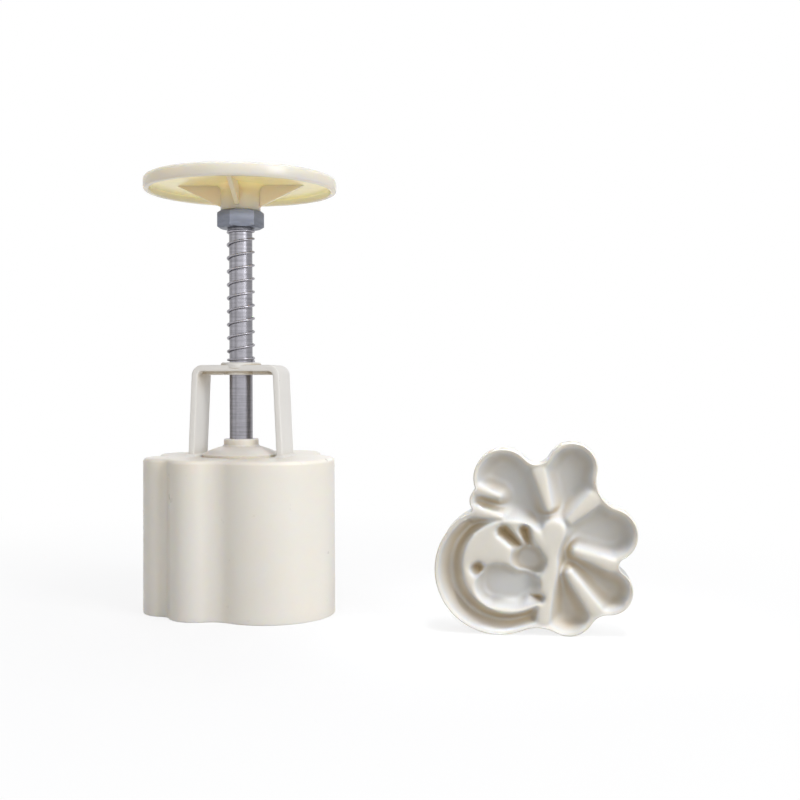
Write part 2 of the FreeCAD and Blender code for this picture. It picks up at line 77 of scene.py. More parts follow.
BARREL_TOP = heights("barrel")[1]
GUIDE_TOP = heights("yoke")[1]
PLUNGER_FOOT, BOSS_TOP = heights("plunger")
ROD_FOOT, ROD_HEAD = heights("rod")
NUT_SEAT, HUB_SEAT = heights("lock_nut")
HANDLE_TOP = heights("handle")[1]
HANDLE_RADIUS = (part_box("handle")[1] * METRE).x
SPRING_LOW, SPRING_HIGH = heights("spring")
ROD_RADIUS = 4.0

# The lobed outline that barrel, plunger and stamp share: centre x, centre y, radius, and the
# radius of the valley that leads to the next lobe, anticlockwise seen from above.
LOBES = {
    "moon": (12.4, -5.6, 20.1, 1.0),
    "cheek": (17.3, 16.0, 4.3, 1.0),
    "crest": (11.2, 23.1, 9.2, 4.5),
    "crown": (-10.1, 26.5, 7.8, 9.4),
    "wing": (-21.9, 5.9, 8.3, 2.4),
    "heel": (-21.6, -11.6, 7.2, 6.1),
    "foot": (-9.2, -17.6, 8.1, 12.2),
}

# Ridges left standing in the stamp's sunk face: centre x, y and radius of each end.
RIDGES = (
    (-4.6, 6.6, 3.6, -3.4, 2.0, 2.6),
    (-3.3, 2.4, 2.4, -1.5, -20.7, 2.0),
    (0.0, 25.1, 2.1, -2.9, 14.4, 1.2),
    (-16.6, 16.8, 2.2, -9.6, 10.4, 1.2),
    (-22.0, -3.3, 2.0, -11.6, 0.6, 1.2),
    (-17.2, -17.3, 2.2, -9.4, -6.4, 1.2),
    (19.0, 12.4, 1.6, 11.8, 10.8, 0.8),
    (18.1, 19.2, 1.5, 12.6, 17.4, 0.8),
)

# The moon's land: centre x, y and radius.
MOON_LAND = (9.2, -4.4, 14.6)

# The rabbit sunk into it, as rounds that run into each other: centre x, y and radius of each
# end, from the middle of the land, as seen on the standing stamp.
RABBIT = {
    "haunch": (-3.6, -5.8, 7.0, -2.0, -6.2, 6.8),
    "chest": (1.6, -7.0, 6.2, 4.4, -5.6, 5.4),
    "head": (5.6, 2.2, 5.2, 7.0, 1.2, 4.6),
    "near_ear": (3.0, 6.4, 1.9, -1.8, 10.8, 2.3),
    "far_ear": (6.2, 6.6, 1.7, 4.6, 11.2, 2.0),
    "tail": (-9.6, -1.2, 2.3, -10.0, -0.8, 2.3),
    "paw": (6.6, -9.6, 2.0, 9.4, -9.8, 1.6),
}

# Settings ------------------------------------------------------------------


def length(name, description, default):
    return bpy.props.FloatProperty(name=name, description=f"{description}, in millimetres",
                                   default=default, min=0.0)


def colour(name, description, default):
    return bpy.props.FloatVectorProperty(name=name, description=description, default=default,
                                         subtype="COLOR", size=3, min=0.0, max=1.0)


class PressSizes(bpy.types.PropertyGroup):
    """Sizes of the forms that the solids leave plain."""

    taper: length("Barrel taper", "How much narrower the barrel is at its top", 0.2)
    top_round: length("Top rounding", "Radius of the barrel's upper edge", 1.4)
    lip_round: length("Lip rounding", "Radius of the barrel's mouth", 0.45)
    leg_foot: length("Leg foot", "Hollow rounding between the yoke and the barrel", 0.9)
    handle_edge: length("Handle edge", "Rounding of the palm disc's rim", 1.5)
    hub_flare: length("Hub flare", "Hollow rounding between the hub and the disc", 2.2)
    stamp_edge: length("Stamp edge", "Rounding of the stamp's face edge", 0.5)
    relief_depth: length("Relief depth", "How deep the stamp's face is sunk", 6.0)
    relief_wall: length("Relief wall", "Width of a ridge's hollow side", 4.6)
    rabbit_depth: length("Rabbit depth", "How deep the rabbit is sunk", 5.6)
    rabbit_wall: length("Rabbit wall", "Width of the rabbit's hollow side", 3.6)
    wire: length("Wire", "Diameter of the spring's wire", 0.8)


class PressColours(bpy.types.PropertyGroup):
    """Base colours of the finishes."""

    cream: colour("Cream", "Moulded body", (0.855, 0.82, 0.765))
    warm_cream: colour("Warm cream", "Thicker stretches of the moulding", (0.84, 0.76, 0.62))
    bridge: colour("Bridge", "Yoke over the barrel", (0.80, 0.785, 0.745))
    handle: colour("Handle", "Palm disc", (0.665, 0.63, 0.58))
    # Painted glow: light soaking through the palm disc, painted on its underside.
    painted_glow: colour("Palm side", "Underside of the palm disc, where light soaks through",
                  (1.0, 0.79, 0.55))
    # Painted glow: the gussets are coloured brighter and warmer than the disc, as if lit through
    # it.
    web: colour("Gusset", "Thin gussets between palm disc and hub", (0.95, 0.83, 0.60))
    stamp: colour("Stamp", "Stamp plate", (0.59, 0.572, 0.515))
    # Painted cool light on the floors of the stamp's hollows, partly for the thinner resin there.
    thin: colour("Thin floor", "Floors of the stamp's hollows", (0.565, 0.588, 0.605))
    # Painted shade: the colour that hollows take by their ambient occlusion.
    hollow: colour("Hollow", "Hollows, where less light gets out of the resin",
                   (0.50, 0.39, 0.22))
    steel: colour("Steel", "Rod", (0.270, 0.264, 0.286))
    zinc: colour("Zinc", "Plated nuts and washer", (0.202, 0.216, 0.262))
    wire: colour("Wire", "Spring", (0.34, 0.33, 0.36))
    floor: colour("Floor", "Floor under the press", (0.90, 0.90, 0.90))


# Outlines ------------------------------------------------------------------

STEP = 0.7                      # wanted distance between points of a lobe
LEAST_STEPS = 8                 # fewest points of a lobe
VALLEY_STEPS = 9
SHARPEST = 0.05                 # smallest radius of a valley


def valley_centre(a, b, valley):
    """Centre of the circle of radius valley that touches lobes a and b from outside."""
    reach_a = a[2] + valley
    reach_b = b[2] + valley
    dx = b[0] - a[0]
    dy = b[1] - a[1]
    apart = math.hypot(dx, dy)
    along = (reach_a ** 2 - reach_b ** 2 + apart ** 2) / (2 * apart)
    aside = math.sqrt(reach_a ** 2 - along ** 2)
    return a[0] + (dx * along + dy * aside) / apart, a[1] + (dy * along - dx * aside) / apart


def bearing(centre, point):
    return math.atan2(point[1] - centre[1], point[0] - centre[0])


def lobed_arcs(outset, sharpest):
    """Centre, radius, start and end angle of each lobe and valley in turn."""
    lobes = [(x, y, radius + outset) for x, y, radius, _ in LOBES.values()]
    valleys = [max(valley - outset, sharpest) for *_, valley in LOBES.values()]
    count = len(lobes)
    hollows = [valley_centre(lobes[i], lobes[(i + 1) % count], valleys[i]) for i in range(count)]
    arcs = []
    for i in range(count):
        start = bearing(lobes[i], hollows[i - 1])
        end = bearing(lobes[i], hollows[i])
        if end < start:
            end += 2 * math.pi
        arcs.append((lobes[i][:2], lobes[i][2], start, end))
        start = bearing(hollows[i], lobes[i])
        end = bearing(hollows[i], lobes[(i + 1) % count])
        if end > start:
            end -= 2 * math.pi
        arcs.append((hollows[i], valleys[i], start, end))
    return arcs


ARC_STEPS = []
for number, (_, radius, start, end) in enumerate(lobed_arcs(0.0, 0.0)):
    lobe_steps = max(LEAST_STEPS, round(radius * abs(end - start) / STEP))
    ARC_STEPS.append(VALLEY_STEPS if number % 2 else lobe_steps)


def lobed_outline(outset, sharpest=SHARPEST):
    """The outline moved outwards by outset, with the same number of points for any outset."""
    points = []
    for (centre, radius, start, end), steps in zip(lobed_arcs(outset, sharpest), ARC_STEPS):
        for i in range(steps):
            angle = start + (end - start) * i / steps
            x = centre[0] + radius * math.cos(angle)
            y = centre[1] + radius * math.sin(angle)
            points.append((x, y))
    return points


def sides(outline):
    """Both ends of each side of a closed outline."""
    return zip(outline, outline[1:] + outline[:1])


def reach(outline, angle):
    """How far the outline lies from the rod's axis in one direction."""
    away = Vector((math.cos(angle), math.sin(angle)))
    farthest = 0.0
    for first, last in sides(outline):
        a = Vector(first)
        side = Vector(last) - a
        cross = away.cross(side)
        if abs(cross) > 1e-9:
            distance = a.cross(side) / cross
            share = a.cross(away) / cross
            if 0 <= share < 1 and distance > farthest:
                farthest = distance
    return farthest


def circle(radius, count=96):
    angles = [2 * math.pi * i / count for i in range(count)]
    return [(radius * math.cos(angle), radius * math.sin(angle)) for angle in angles]


def rounding(x, z, radius, start, end, steps=5):
    """Points of an arc about x, z, with its angles in degrees."""
    points = []
    for i in range(steps + 1):
        angle = math.radians(start + (end - start) * i / steps)
        points.append((x + radius * math.cos(angle), z + radius * math.sin(angle)))
    return points


def corner(x, z, radius, start, end, steps=5):
    """Points of the arc that rounds a square corner at x, z."""
    middle = math.radians((start + end) / 2)
    x -= math.copysign(radius, math.cos(middle))
    z -= math.copysign(radius, math.sin(middle))
    return rounding(x, z, radius, start, end, steps)


# Forms ---------------------------------------------------------------------

RUN_IN = 0.3                    # how far one form runs into the next, so that no gap shows


class Form:
    """A mesh under construction, in millimetres."""

    def __init__(self):
        self.mesh = bmesh.new()

    def ring(self, points):
        return [self.mesh.verts.new(point) for point in points]

    def level(self, outline, z):
        return self.ring([(x, y, z) for x, y in outline])

    def cap(self, ring):
        self.mesh.faces.new(ring)

    def strip(self, first, second):
        """Quads between two rings of as many points."""
        for i, vert in enumerate(first):
            j = (i + 1) % len(first)
            self.mesh.faces.new((vert, first[j], second[j], second[i]))

    def strips(self, rings):
        for first, second in zip(rings, rings[1:]):
            self.strip(first, second)

    def shell(self, wall, sharpest=SHARPEST):
        """The lobed outline at each outset and height of a wall, joined into one surface."""
        rings = [self.level(lobed_outline(outset, sharpest), z) for outset, z in wall]
        self.strips(rings)
        return rings

    def fill(self, *rings):
        """Close a flat stretch between one ring and the rings inside it."""
        edges = []
        for ring in rings:
            for pair in zip(ring, ring[1:] + ring[:1]):
                edges.append(self.mesh.edges.get(pair) or self.mesh.edges.new(pair))
        bmesh.ops.triangle_fill(self.mesh, edges=edges, use_beauty=True)

    def turn(self, profile, closed=False, count=96):
        """Turn a profile of (radius, z) about the rod's axis. A closed profile makes a ring;
        an open one starts and ends on the axis."""
        rings = []
        for radius, z in profile:
            outline = circle(radius, count) if radius else [(0, 0)]
            rings.append(self.level(outline, z))
        pairs = list(zip(rings, rings[1:]))
        if closed:
            pairs.append((rings[-1], rings[0]))
        for first, second in pairs:
            if len(first) == len(second):
                self.strip(first, second)
            else:
                pole, ring = sorted((first, second), key=len)
                for i, vert in enumerate(ring):
                    self.cap((vert, ring[(i + 1) % count], pole[0]))

    def ribs(self, count, thick, start, outline, low, high):
        """Straight ribs that stand out from the rod's axis, from the radius start to the
        outline, between two heights."""
        side = thick / 2
        for i in range(count):
            angle = 2 * math.pi * i / count
            end = reach(outline, angle) + RUN_IN
            spin = Matrix.Rotation(angle, 3, "Z")
            foot, head = [], []
            for x, y in ((start, -side), (end, -side), (end, side), (start, side)):
                foot.append(spin @ Vector((x, y, low)))
                head.append(spin @ Vector((x, y, high)))
            foot, head = self.ring(foot), self.ring(head)
            self.cap(foot[::-1])
            self.cap(head)
            self.strip(foot, head)

    def place(self, matrix):
        bmesh.ops.transform(self.mesh, matrix=matrix, verts=self.mesh.verts)


def new_object(name, data):
    thing = bpy.data.objects.new(name, data)
    bpy.context.scene.collection.objects.link(thing)
    return thing


def shaded(thing, sharp):
    """Smooth shading but for edges sharper than the angle."""
    thing.data.shade_smooth()
    thing.data.set_sharp_from_angle(angle=math.radians(sharp))
    return thing


def mesh_object(name, form, sharp=40.0):
    """The form as an object in metres."""
    bmesh.ops.recalc_face_normals(form.mesh, faces=form.mesh.faces)
    form.place(Matrix.Scale(1 / METRE, 4))
    data = bpy.data.meshes.new(name)
    form.mesh.to_mesh(data)
    form.mesh.free()
    return shaded(new_object(name, data), sharp)


def applied(thing):
    """Turn an object's modifiers into plain mesh."""
    graph = bpy.context.evaluated_depsgraph_get()
    data = bpy.data.meshes.new_from_object(thing.evaluated_get(graph))
    thing.modifiers.clear()
    thing.data = data
    return thing


def softened(name, node, bevel):
    """A copy of a solid's mesh with its sharp edges bevelled."""
    work = bmesh.new()
    work.from_mesh(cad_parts[node].data)
    bmesh.ops.remove_doubles(work, verts=work.verts, dist=1e-6)
    bmesh.ops.dissolve_limit(work, angle_limit=math.radians(1.0), verts=work.verts,
                             edges=work.edges, use_dissolve_boundaries=False)
    data = bpy.data.meshes.new(name)
    work.to_mesh(data)
    work.free()
    thing = new_object(name, data)
    edges = thing.modifiers.new("Edges", "BEVEL")
    edges.width = bevel / METRE
    edges.segments = 3
    edges.limit_method = "ANGLE"
    edges.angle_limit = math.radians(28)
    return shaded(applied(thing), 50.0)


def finish_piece(thing, body, slot, material, *nodes):
    """Give a piece its material and body, and hide the solids that it stands for; the slot is not
    used.
    """
    if material.name not in thing.data.materials:
        thing.data.materials.clear()
        thing.data.materials.append(material)
    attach(thing, body)
    if nodes:
        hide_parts(*nodes)


# Node trees ----------------------------------------------------------------


class Tree:
    """A node tree with short ways to add nodes and link them."""

    def __init__(self, tree):
        self.tree = tree

    def add(self, kind, **settings):
        node = self.tree.nodes.new(kind)
        for key, value in settings.items():
            setattr(node, key, value)
        return node

    def link(self, source, target):
        self.tree.links.new(source, target)

    def give(self, socket, value):
        """Link a socket to a socket, or set it."""
        if isinstance(value, bpy.types.NodeSocket):
            self.link(value, socket)
        else:
            socket.default_value = value

    def feed(self, node, **sockets):
        """Give a node its inputs by their names, with _ for a space."""
        for key, value in sockets.items():
            self.give(node.inputs[key.replace("_", " ")], value)

    def made(self, node, *values):
        """Give a node its first inputs in order, for its first output."""
        for socket, value in zip(node.inputs, values):
            self.give(socket, value)
        return node.outputs[0]

    def maths(self, operation, *values):
        return self.made(self.add("ShaderNodeMath", operation=operation), *values)

    def plus(self, first, second):
        return self.maths("ADD", first, second)

    def minus(self, first, second):
        return self.maths("SUBTRACT", first, second)

    def times(self, first, second):
        return self.maths("MULTIPLY", first, second)

    def vector(self, x, y, z):
        return self.made(self.add("ShaderNodeCombineXYZ"), x, y, z)

    def length(self, vector):
        node = self.add("ShaderNodeVectorMath", operation="LENGTH")
        self.link(vector, node.inputs[0])
        return node.outputs["Value"]

    def ramp(self, value, low, high, out_low=0.0, out_high=1.0, kind="LINEAR"):
        node = self.add("ShaderNodeMapRange", interpolation_type=kind)
        self.feed(node, Value=value, From_Min=low, From_Max=high, To_Min=out_low, To_Max=out_high)
        return node.outputs["Result"]

    def noise(self, vector, scale, detail, roughness=0.5):
        node = self.add("ShaderNodeTexNoise")
        self.feed(node, Vector=vector, Scale=scale, Detail=detail, Roughness=roughness)
        return node.outputs["Fac"]

    def mix(self, share, first, second):
        """A colour between two."""
        node = self.add("ShaderNodeMix", data_type="RGBA")
        self.give(node.inputs["Factor"], share)
        self.give(node.inputs["A"], first)
        self.give(node.inputs["B"], second)
        return node.outputs["Result"]


def node_group(kind, name, inputs, outputs):
    """A new node group as a Tree, with the sockets that its inputs and outputs have inside."""
    group = bpy.data.node_groups.new(name, kind)
    for way, sockets in (("OUTPUT", outputs), ("INPUT", inputs)):
        for label, value in sockets.items():
            group.interface.new_socket(label, in_out=way, socket_type=f"NodeSocket{value}")
    tree = Tree(group)
    return tree, tree.add("NodeGroupInput").outputs, tree.add("NodeGroupOutput").inputs


def finish_tree(tree, geometry, material, leave):
    """Realize Instances and Set Material, the end of every geometry tree."""
    real = tree.add("GeometryNodeRealizeInstances")
    painted = tree.add("GeometryNodeSetMaterial")
    tree.link(geometry, real.inputs[0])
    tree.feed(painted, Geometry=real.outputs[0], Material=material)
    tree.link(painted.outputs[0], leave["Geometry"])
    return tree


def grown(name, tree, values, sharp=40.0):
    """An object made by a geometry tree with the given inputs, as plain mesh."""
    thing = new_object(name, bpy.data.meshes.new(name))
    modifier = thing.modifiers.new("Grow", "NODES")
    modifier.node_group = tree.tree
    for item in tree.tree.interface.items_tree:
        if item.in_out == "INPUT":
            modifier[item.identifier] = values[item.name]
    return shaded(applied(thing), sharp)


# Materials -----------------------------------------------------------------


def drift_group():
    """Slow change of tone over a moulding, with fine cloudiness from the resin."""
    inputs = {"Vector": "Vector", "Base": "Color", "Thick": "Color", "Amount": "Float"}
    tree, entry, leave = node_group("ShaderNodeTree", "Tone drift", inputs, {"Color": "Color"})
    broad = tree.ramp(tree.noise(entry["Vector"], 38.0, 2.0), 0.3, 0.7)
    fine = tree.ramp(tree.noise(entry["Vector"], 420.0, 3.0), 0.35, 0.65)
    share = tree.plus(tree.times(broad, 0.8), tree.times(fine, 0.2))
    share = tree.times(share, entry["Amount"])
    tree.link(tree.mix(share, entry["Base"], entry["Thick"]), leave["Color"])
    return tree.tree


def skin_group():
    """Fine unevenness of a moulded or machined skin."""
    inputs = {"Vector": "Vector", "Scale": "Float", "Roughness": "Float", "Spread": "Float"}
    outputs = {"Height": "Float", "Roughness": "Float"}
    tree, entry, leave = node_group("ShaderNodeTree", "Skin", inputs, outputs)
    coarse = tree.noise(entry["Vector"], entry["Scale"], 2.0)
    fine = tree.noise(entry["Vector"], tree.times(entry["Scale"], 6.0), 3.0)
    tree.link(tree.plus(tree.times(coarse, 0.75), tree.times(fine, 0.25)), leave["Height"])
    uneven = tree.times(tree.minus(coarse, 0.5), entry["Spread"])
    tree.link(tree.plus(entry["Roughness"], uneven), leave["Roughness"])
    return tree.tree


def edge_group():
    """Mask of the worn or thinner edges, from the surface's own curvature. On the nuts it
    marks a painted highlight along the bevels.
    """
    inputs = {"Vector": "Vector", "Low": "Float", "High": "Float"}
    tree, entry, leave = node_group("ShaderNodeTree", "Edges", inputs, {"Mask": "Float"})
    shape = tree.add("ShaderNodeNewGeometry").outputs["Pointiness"]
    mask = tree.ramp(shape, entry["Low"], entry["High"])
    broken = tree.ramp(tree.noise(entry["Vector"], 900.0, 2.0), 0.3, 0.6, 0.5, 1.0)
    tree.link(tree.times(mask, broken), leave["Mask"])
    return tree.tree


class Finish:
    """A material with its Principled shader and the object's coordinates at hand."""

    def __init__(self, name):
        self.material = bpy.data.materials.new(name)
        self.material.use_nodes = True
        self.tree = Tree(self.material.node_tree)
        self.shader = self.material.node_tree.nodes["Principled BSDF"]
        self.place = self.tree.add("ShaderNodeTexCoord").outputs["Object"]

    def set(self, **sockets):
        self.tree.feed(self.shader, **sockets)

    def group(self, name, maker, **sockets):
        """Place a node group, which is built once, on the object's coordinates."""
        group = bpy.data.node_groups.get(name) or maker()
        node = self.tree.add("ShaderNodeGroup", node_tree=group)
        self.tree.feed(node, Vector=self.place, **sockets)
        return node.outputs

    def bump(self, height, strength, distance):
        node = self.tree.add("ShaderNodeBump")
        self.tree.feed(node, Height=height, Strength=strength, Distance=distance)
        self.set(Normal=node.outputs["Normal"])

    def height(self):
        """Height above the floor."""
        split = self.tree.add("ShaderNodeSeparateXYZ")
        self.tree.link(self.place, split.inputs[0])
        return split.outputs["Z"]

    def beside(self):
        """Distance from the rod's axis."""
        flat = self.tree.add("ShaderNodeVectorMath", operation="MULTIPLY")
        return self.tree.length(self.tree.made(flat, self.place, (1.0, 1.0, 0.0)))


def opaque(rgb):
    return (*rgb, 1.0)


def toned(rgb, times):
    return opaque(min(1.0, channel * times) for channel in rgb)


def warmed(finish, tone, thick, low, high):
    """The tone warms between two heights and is itself again just above the upper one."""
    tree = finish.tree
    height = finish.height()
    most = 0.3
    fade = 2.0
    rise = tree.ramp(height, low / METRE, high / METRE, 0.0, most)
    beyond = tree.ramp(height, high / METRE, (high + fade) / METRE, 1.0, 0.0)
    return tree.mix(tree.times(rise, beyond), tone, opaque(thick))


def painted_glow_below(finish, tone, painted_glow, radius, height):
    """Painted glow: the space about the rod's axis, within a radius and below a height, takes a
    brighter, warmer tone, as of light soaking through the disc above.
    """
    tree = finish.tree
    inner, soft = 0.6, 0.4      # widths of the soft border inside the radius and elsewhere
    near = tree.ramp(finish.beside(), (radius - inner) / METRE, (radius + soft) / METRE, 1.0, 0.0)
    below = tree.ramp(finish.height(), (height - soft) / METRE, (height + soft) / METRE, 1.0, 0.0)
    return tree.mix(tree.times(near, below), tone, opaque(painted_glow))


def painted_hollow_shade(finish, tone, distance, thin):
    """Painted shade: hollows darken and warm within about a distance, by their ambient occlusion,
    and their floors take a painted cool light, partly for the thinner resin there.
    """
    tree = finish.tree
    shelter = tree.add("ShaderNodeAmbientOcclusion", only_local=True, samples=12)
    tree.feed(shelter, Distance=distance / METRE)
    light = shelter.outputs["AO"]
    darkest, lightest = 0.40, 0.97
    # Painted light: partly sheltered floors turn paler and cooler, partly for the thinner resin
    # there.
    if thin is not None:
        darkest, lightest = 0.36, 0.80
        floor = tree.ramp(light, lightest, 0.98, 1.0, 0.0)
        tone = tree.mix(floor, tone, opaque(thin))
    # Painted shade: the more a place is occluded, the more it takes the hollow colour.
    deep = tree.ramp(light, darkest, lightest, 0.90, 0.0)
    return tree.mix(deep, tone, opaque(bpy.context.scene.press_colours.hollow))


def moulded(name, base, thick, roughness, drift=0.3, warm=None, glow=0.003, grain=0.10,
            soak=0.5, hollow=0.0, thin=None, under=None):
    """Semi-gloss moulded plastic, into which a share soak of the light sinks as deep as glow.
    Between the two heights warm its tone warms. Hollows take a painted shade within about the
    given distance, their floors a painted cool light, partly for the thinner resin there.
    The colour under, with its radius and height, is a painted glow about the rod's axis."""
    finish = Finish(name)
    tree = finish.tree
    tone = finish.group("Tone drift", drift_group, Base=opaque(base), Thick=opaque(thick),
                        Amount=drift)["Color"]
    if warm is not None:
        tone = warmed(finish, tone, thick, *warm)
    if under is not None:
        tone = painted_glow_below(finish, tone, *under)
    if hollow:
        tone = painted_hollow_shade(finish, tone, hollow, thin)
    edge = finish.group("Edges", edge_group, Low=0.52, High=0.60)["Mask"]
    tone = tree.mix(tree.times(edge, 0.5), tone, toned(base, 1.06))
    skin = finish.group("Skin", skin_group, Scale=260.0, Roughness=roughness, Spread=0.16)
    finish.set(Base_Color=tone, Roughness=skin["Roughness"], IOR=1.49,
               Subsurface_Weight=soak, Subsurface_Scale=glow,
               Subsurface_Radius=(1.0, 0.75, 0.40))
    finish.bump(skin["Height"], grain, 0.00012)
    return finish.material


def turned_steel(name, base, roughness, lines, wear=0.25):
    """Bright steel with fine lines round the axis of turning or drawing."""
    finish = Finish(name)
    tree = finish.tree
    stretch = tree.add("ShaderNodeMapping")
    tree.feed(stretch, Vector=finish.place, Scale=(12.0, 12.0, lines))
    streak = tree.noise(stretch.outputs[0], 6.0, 4.0, 0.6)
    skin = finish.group("Skin", skin_group, Scale=700.0, Roughness=roughness, Spread=0.10)
    tone = tree.mix(tree.ramp(streak, 0.35, 0.65), opaque(base), toned(base, 0.72))
    edge = finish.group("Edges", edge_group, Low=0.52, High=0.62)["Mask"]
    # Edges lighten: wear, and on the nuts, where the share is large, a painted highlight.
    tone = tree.mix(tree.times(edge, wear), tone, toned(base, 2.0))
    rough = tree.plus(skin["Roughness"], tree.ramp(streak, 0.3, 0.7, -0.02, 0.04))
    finish.set(Base_Color=tone, Roughness=rough, Metallic=1.0)
    height = tree.plus(tree.times(skin["Height"], 0.4), tree.times(streak, 0.6))
    finish.bump(height, 0.07, 0.00006)
    return finish.material


def make_once(name, maker, *values, **more):
    return bpy.data.materials.get(name) or maker(name, *values, **more)


# Pieces --------------------------------------------------------------------


class PressPiece:
    """What the operators have in common."""

    bl_options = {"REGISTER", "UNDO"}

    @property
    def sizes(self):
        return bpy.context.scene.press_sizes

    @property
    def tints(self):
        return bpy.context.scene.press_colours

    def cream_plastic(self):
        tints = self.tints
        # Its hollows take a painted shade within 9 mm.
        return make_once("Cream plastic", moulded, tints.cream, tints.warm_cream, 0.31,
                         warm=(20.0, BARREL_TOP), hollow=9.0)


class PRESS_OT_barrel(PressPiece, bpy.types.Operator):
    """The lobed housing, open below and with a round opening above"""

    bl_idname = "press.barrel"
    bl_label = "Barrel"

    outer = 1.9                 # outside and inside of the wall, out from the stamp's outline
    inner = 0.3
    sharpest = 0.8              # smallest radius of a valley
    ceiling = 2.5
    opening = 13.9
    inner_round = 0.6
    opening_round = 0.4

    def execute(self, context):
        sizes = self.sizes
        roof = BARREL_TOP - self.ceiling
        form = Form()
        wall = corner(self.inner, roof, self.inner_round, 90, 0, 3)
        wall += corner(self.inner, 0.0, sizes.lip_round, 180, 270)
        wall += corner(self.outer, 0.0, sizes.lip_round, 270, 360)
        wall += corner(self.outer - sizes.taper, BARREL_TOP, sizes.top_round, 0, 90, 8)
        rings = form.shell(wall, self.sharpest)
        edge = corner(self.opening, BARREL_TOP, self.opening_round, 90, 180, 3)
        edge.append((self.opening, roof))
        holes = [form.level(circle(radius), z) for radius, z in edge]
        form.strips(holes)
        form.fill(rings[-1], holes[0])
        form.fill(rings[0], holes[-1])
        thing = mesh_object("housing", form)
        finish_piece(thing, "barrel", "cream_plastic", self.cream_plastic(), "barrel")
        return {"FINISHED"}


class PRESS_OT_yoke(PressPiece, bpy.types.Operator):
    """The bridge over the opening, with the flanged guide for the rod"""

    bl_idname = "press.yoke"
    bl_label = "Yoke"

    height = 31.5
    half_top = 15.8
    half_foot = 17.0
    strap = 2.2
    depth = 13.3
    bend = 3.8                  # outer radius of the strap's bends
    bend_inset = 0.12
    edge = 0.42
    leg_steps = 14
    leg_crowding = 1.6          # draws the leg's points towards its foot
    bend_steps = 10
    sink = 0.4                  # how far the feet run into the barrel
    web_width = 4.5
    web_drop = 1.2
    web_edge = 0.3
    web_run_in = (0.6, 0.4)     # how far the web runs into the strap, sideways and upwards
    guide_radius = 7.0
    guide_flange = 2.1
    guide_rounds = (0.4, 0.7)   # at the flange's lower and upper edge
    collar_radius = 5.4
    bore = 4.08
    bore_round = 0.3
    bore_cut = 0.2

    def path(self):
        """Middle line of the strap from the left foot over to the right one: point, with its
        height above the barrel, and outward normal."""
        half = self.strap / 2
        crown = Vector((self.half_top, self.height))
        foot = Vector((self.half_foot, -self.sink))
        lean = (crown - foot).normalized()
        out = Vector((lean.y, -lean.x))
        radius = self.bend
        turn = math.atan2(out.y, out.x)
        centre = Vector((crown.x - radius * math.cos(turn) - self.bend_inset, crown.y - radius))
        rows = []
        for i in range(self.leg_steps + 1):
            share = (i / self.leg_steps) ** self.leg_crowding
            point = foot.lerp(centre + out * radius, share)
            rows.append((point - out * half, out))
        for i in range(1, self.bend_steps + 1):
            angle = turn + (math.pi / 2 - turn) * i / self.bend_steps
            normal = Vector((math.cos(angle), math.sin(angle)))
            rows.append((centre + normal * (radius - half), normal))
        rows.append((Vector((0.0, self.height - half)), Vector((0.0, 1.0))))
        mirrored = [(Vector((-p.x, p.y)), Vector((-n.x, n.y))) for p, n in rows[-2::-1]]
        return rows + mirrored

    def strap_form(self, form):
        """The strap, whose feet flare out into the barrel's top."""
        foot = self.sizes.leg_foot
        rings = []
        for point, normal in self.path():
            near = max(0.0, foot - max(0.0, point.y))
            flare = foot - math.sqrt(foot ** 2 - near ** 2)
            thick = self.strap / 2 + flare
            deep = self.depth / 2 + flare
            ring = []
            for x, y, start in ((1, 1, 0), (-1, 1, 90), (-1, -1, 180), (1, -1, 270)):
                for across, along in corner(x * thick, y * deep, self.edge, start, start + 90, 4):
                    spot = point + normal * across
                    ring.append((spot.x, along, BARREL_TOP + spot.y))
            rings.append(form.ring(ring))
        form.strips(rings)
        form.cap(rings[0])
        form.cap(rings[-1][::-1])

    def web_form(self, form, under, low):
        """The rib that thickens the strap from below."""
        aside, up = self.web_run_in
        end = self.half_top - self.strap + aside
        half = self.web_width / 2
        soft = self.web_edge
        side = [(half, under + up), (half, low + soft), (half - soft, low)]
        outline = side + [(-y, z) for y, z in side[::-1]]
        left, right = (form.ring([(x, y, z) for y, z in outline]) for x in (-end, end))
        form.strip(left, right)
        form.cap(left)
        form.cap(right[::-1])

    def guide_form(self, form, low):
        """The flange and collar round the rod."""
        flange = GUIDE_TOP - self.guide_flange
        lower, upper = self.guide_rounds
        profile = corner(self.guide_radius, flange, lower, -90, 0, 4)
        profile += corner(self.guide_radius, GUIDE_TOP, upper, 0, 90)
        profile += corner(self.bore, GUIDE_TOP, self.bore_round, 90, 180, 3)
        profile += [(self.bore, low + self.bore_cut), (self.bore + self.bore_cut, low)]
        profile += corner(self.collar_radius, low, self.bore_round, -90, 0, 3)
        profile += [(self.collar_radius, flange)]
        form.turn(profile, closed=True)

    def execute(self, context):
        form = Form()
        under = BARREL_TOP + self.height - self.strap
        low = under - self.web_drop
        self.strap_form(form)
        self.web_form(form, under, low)
        self.guide_form(form, low)
        thing = mesh_object("yoke_bridge", form)
        tint = self.tints.bridge
        # Its hollows take a painted shade within 9 mm.
        plastic = make_once("Yoke plastic", moulded, tint, tint, 0.31,
                            drift=0.2, soak=0.0, hollow=9.0)
        finish_piece(thing, "barrel", "cream_plastic", plastic, "yoke")
        return {"FINISHED"}


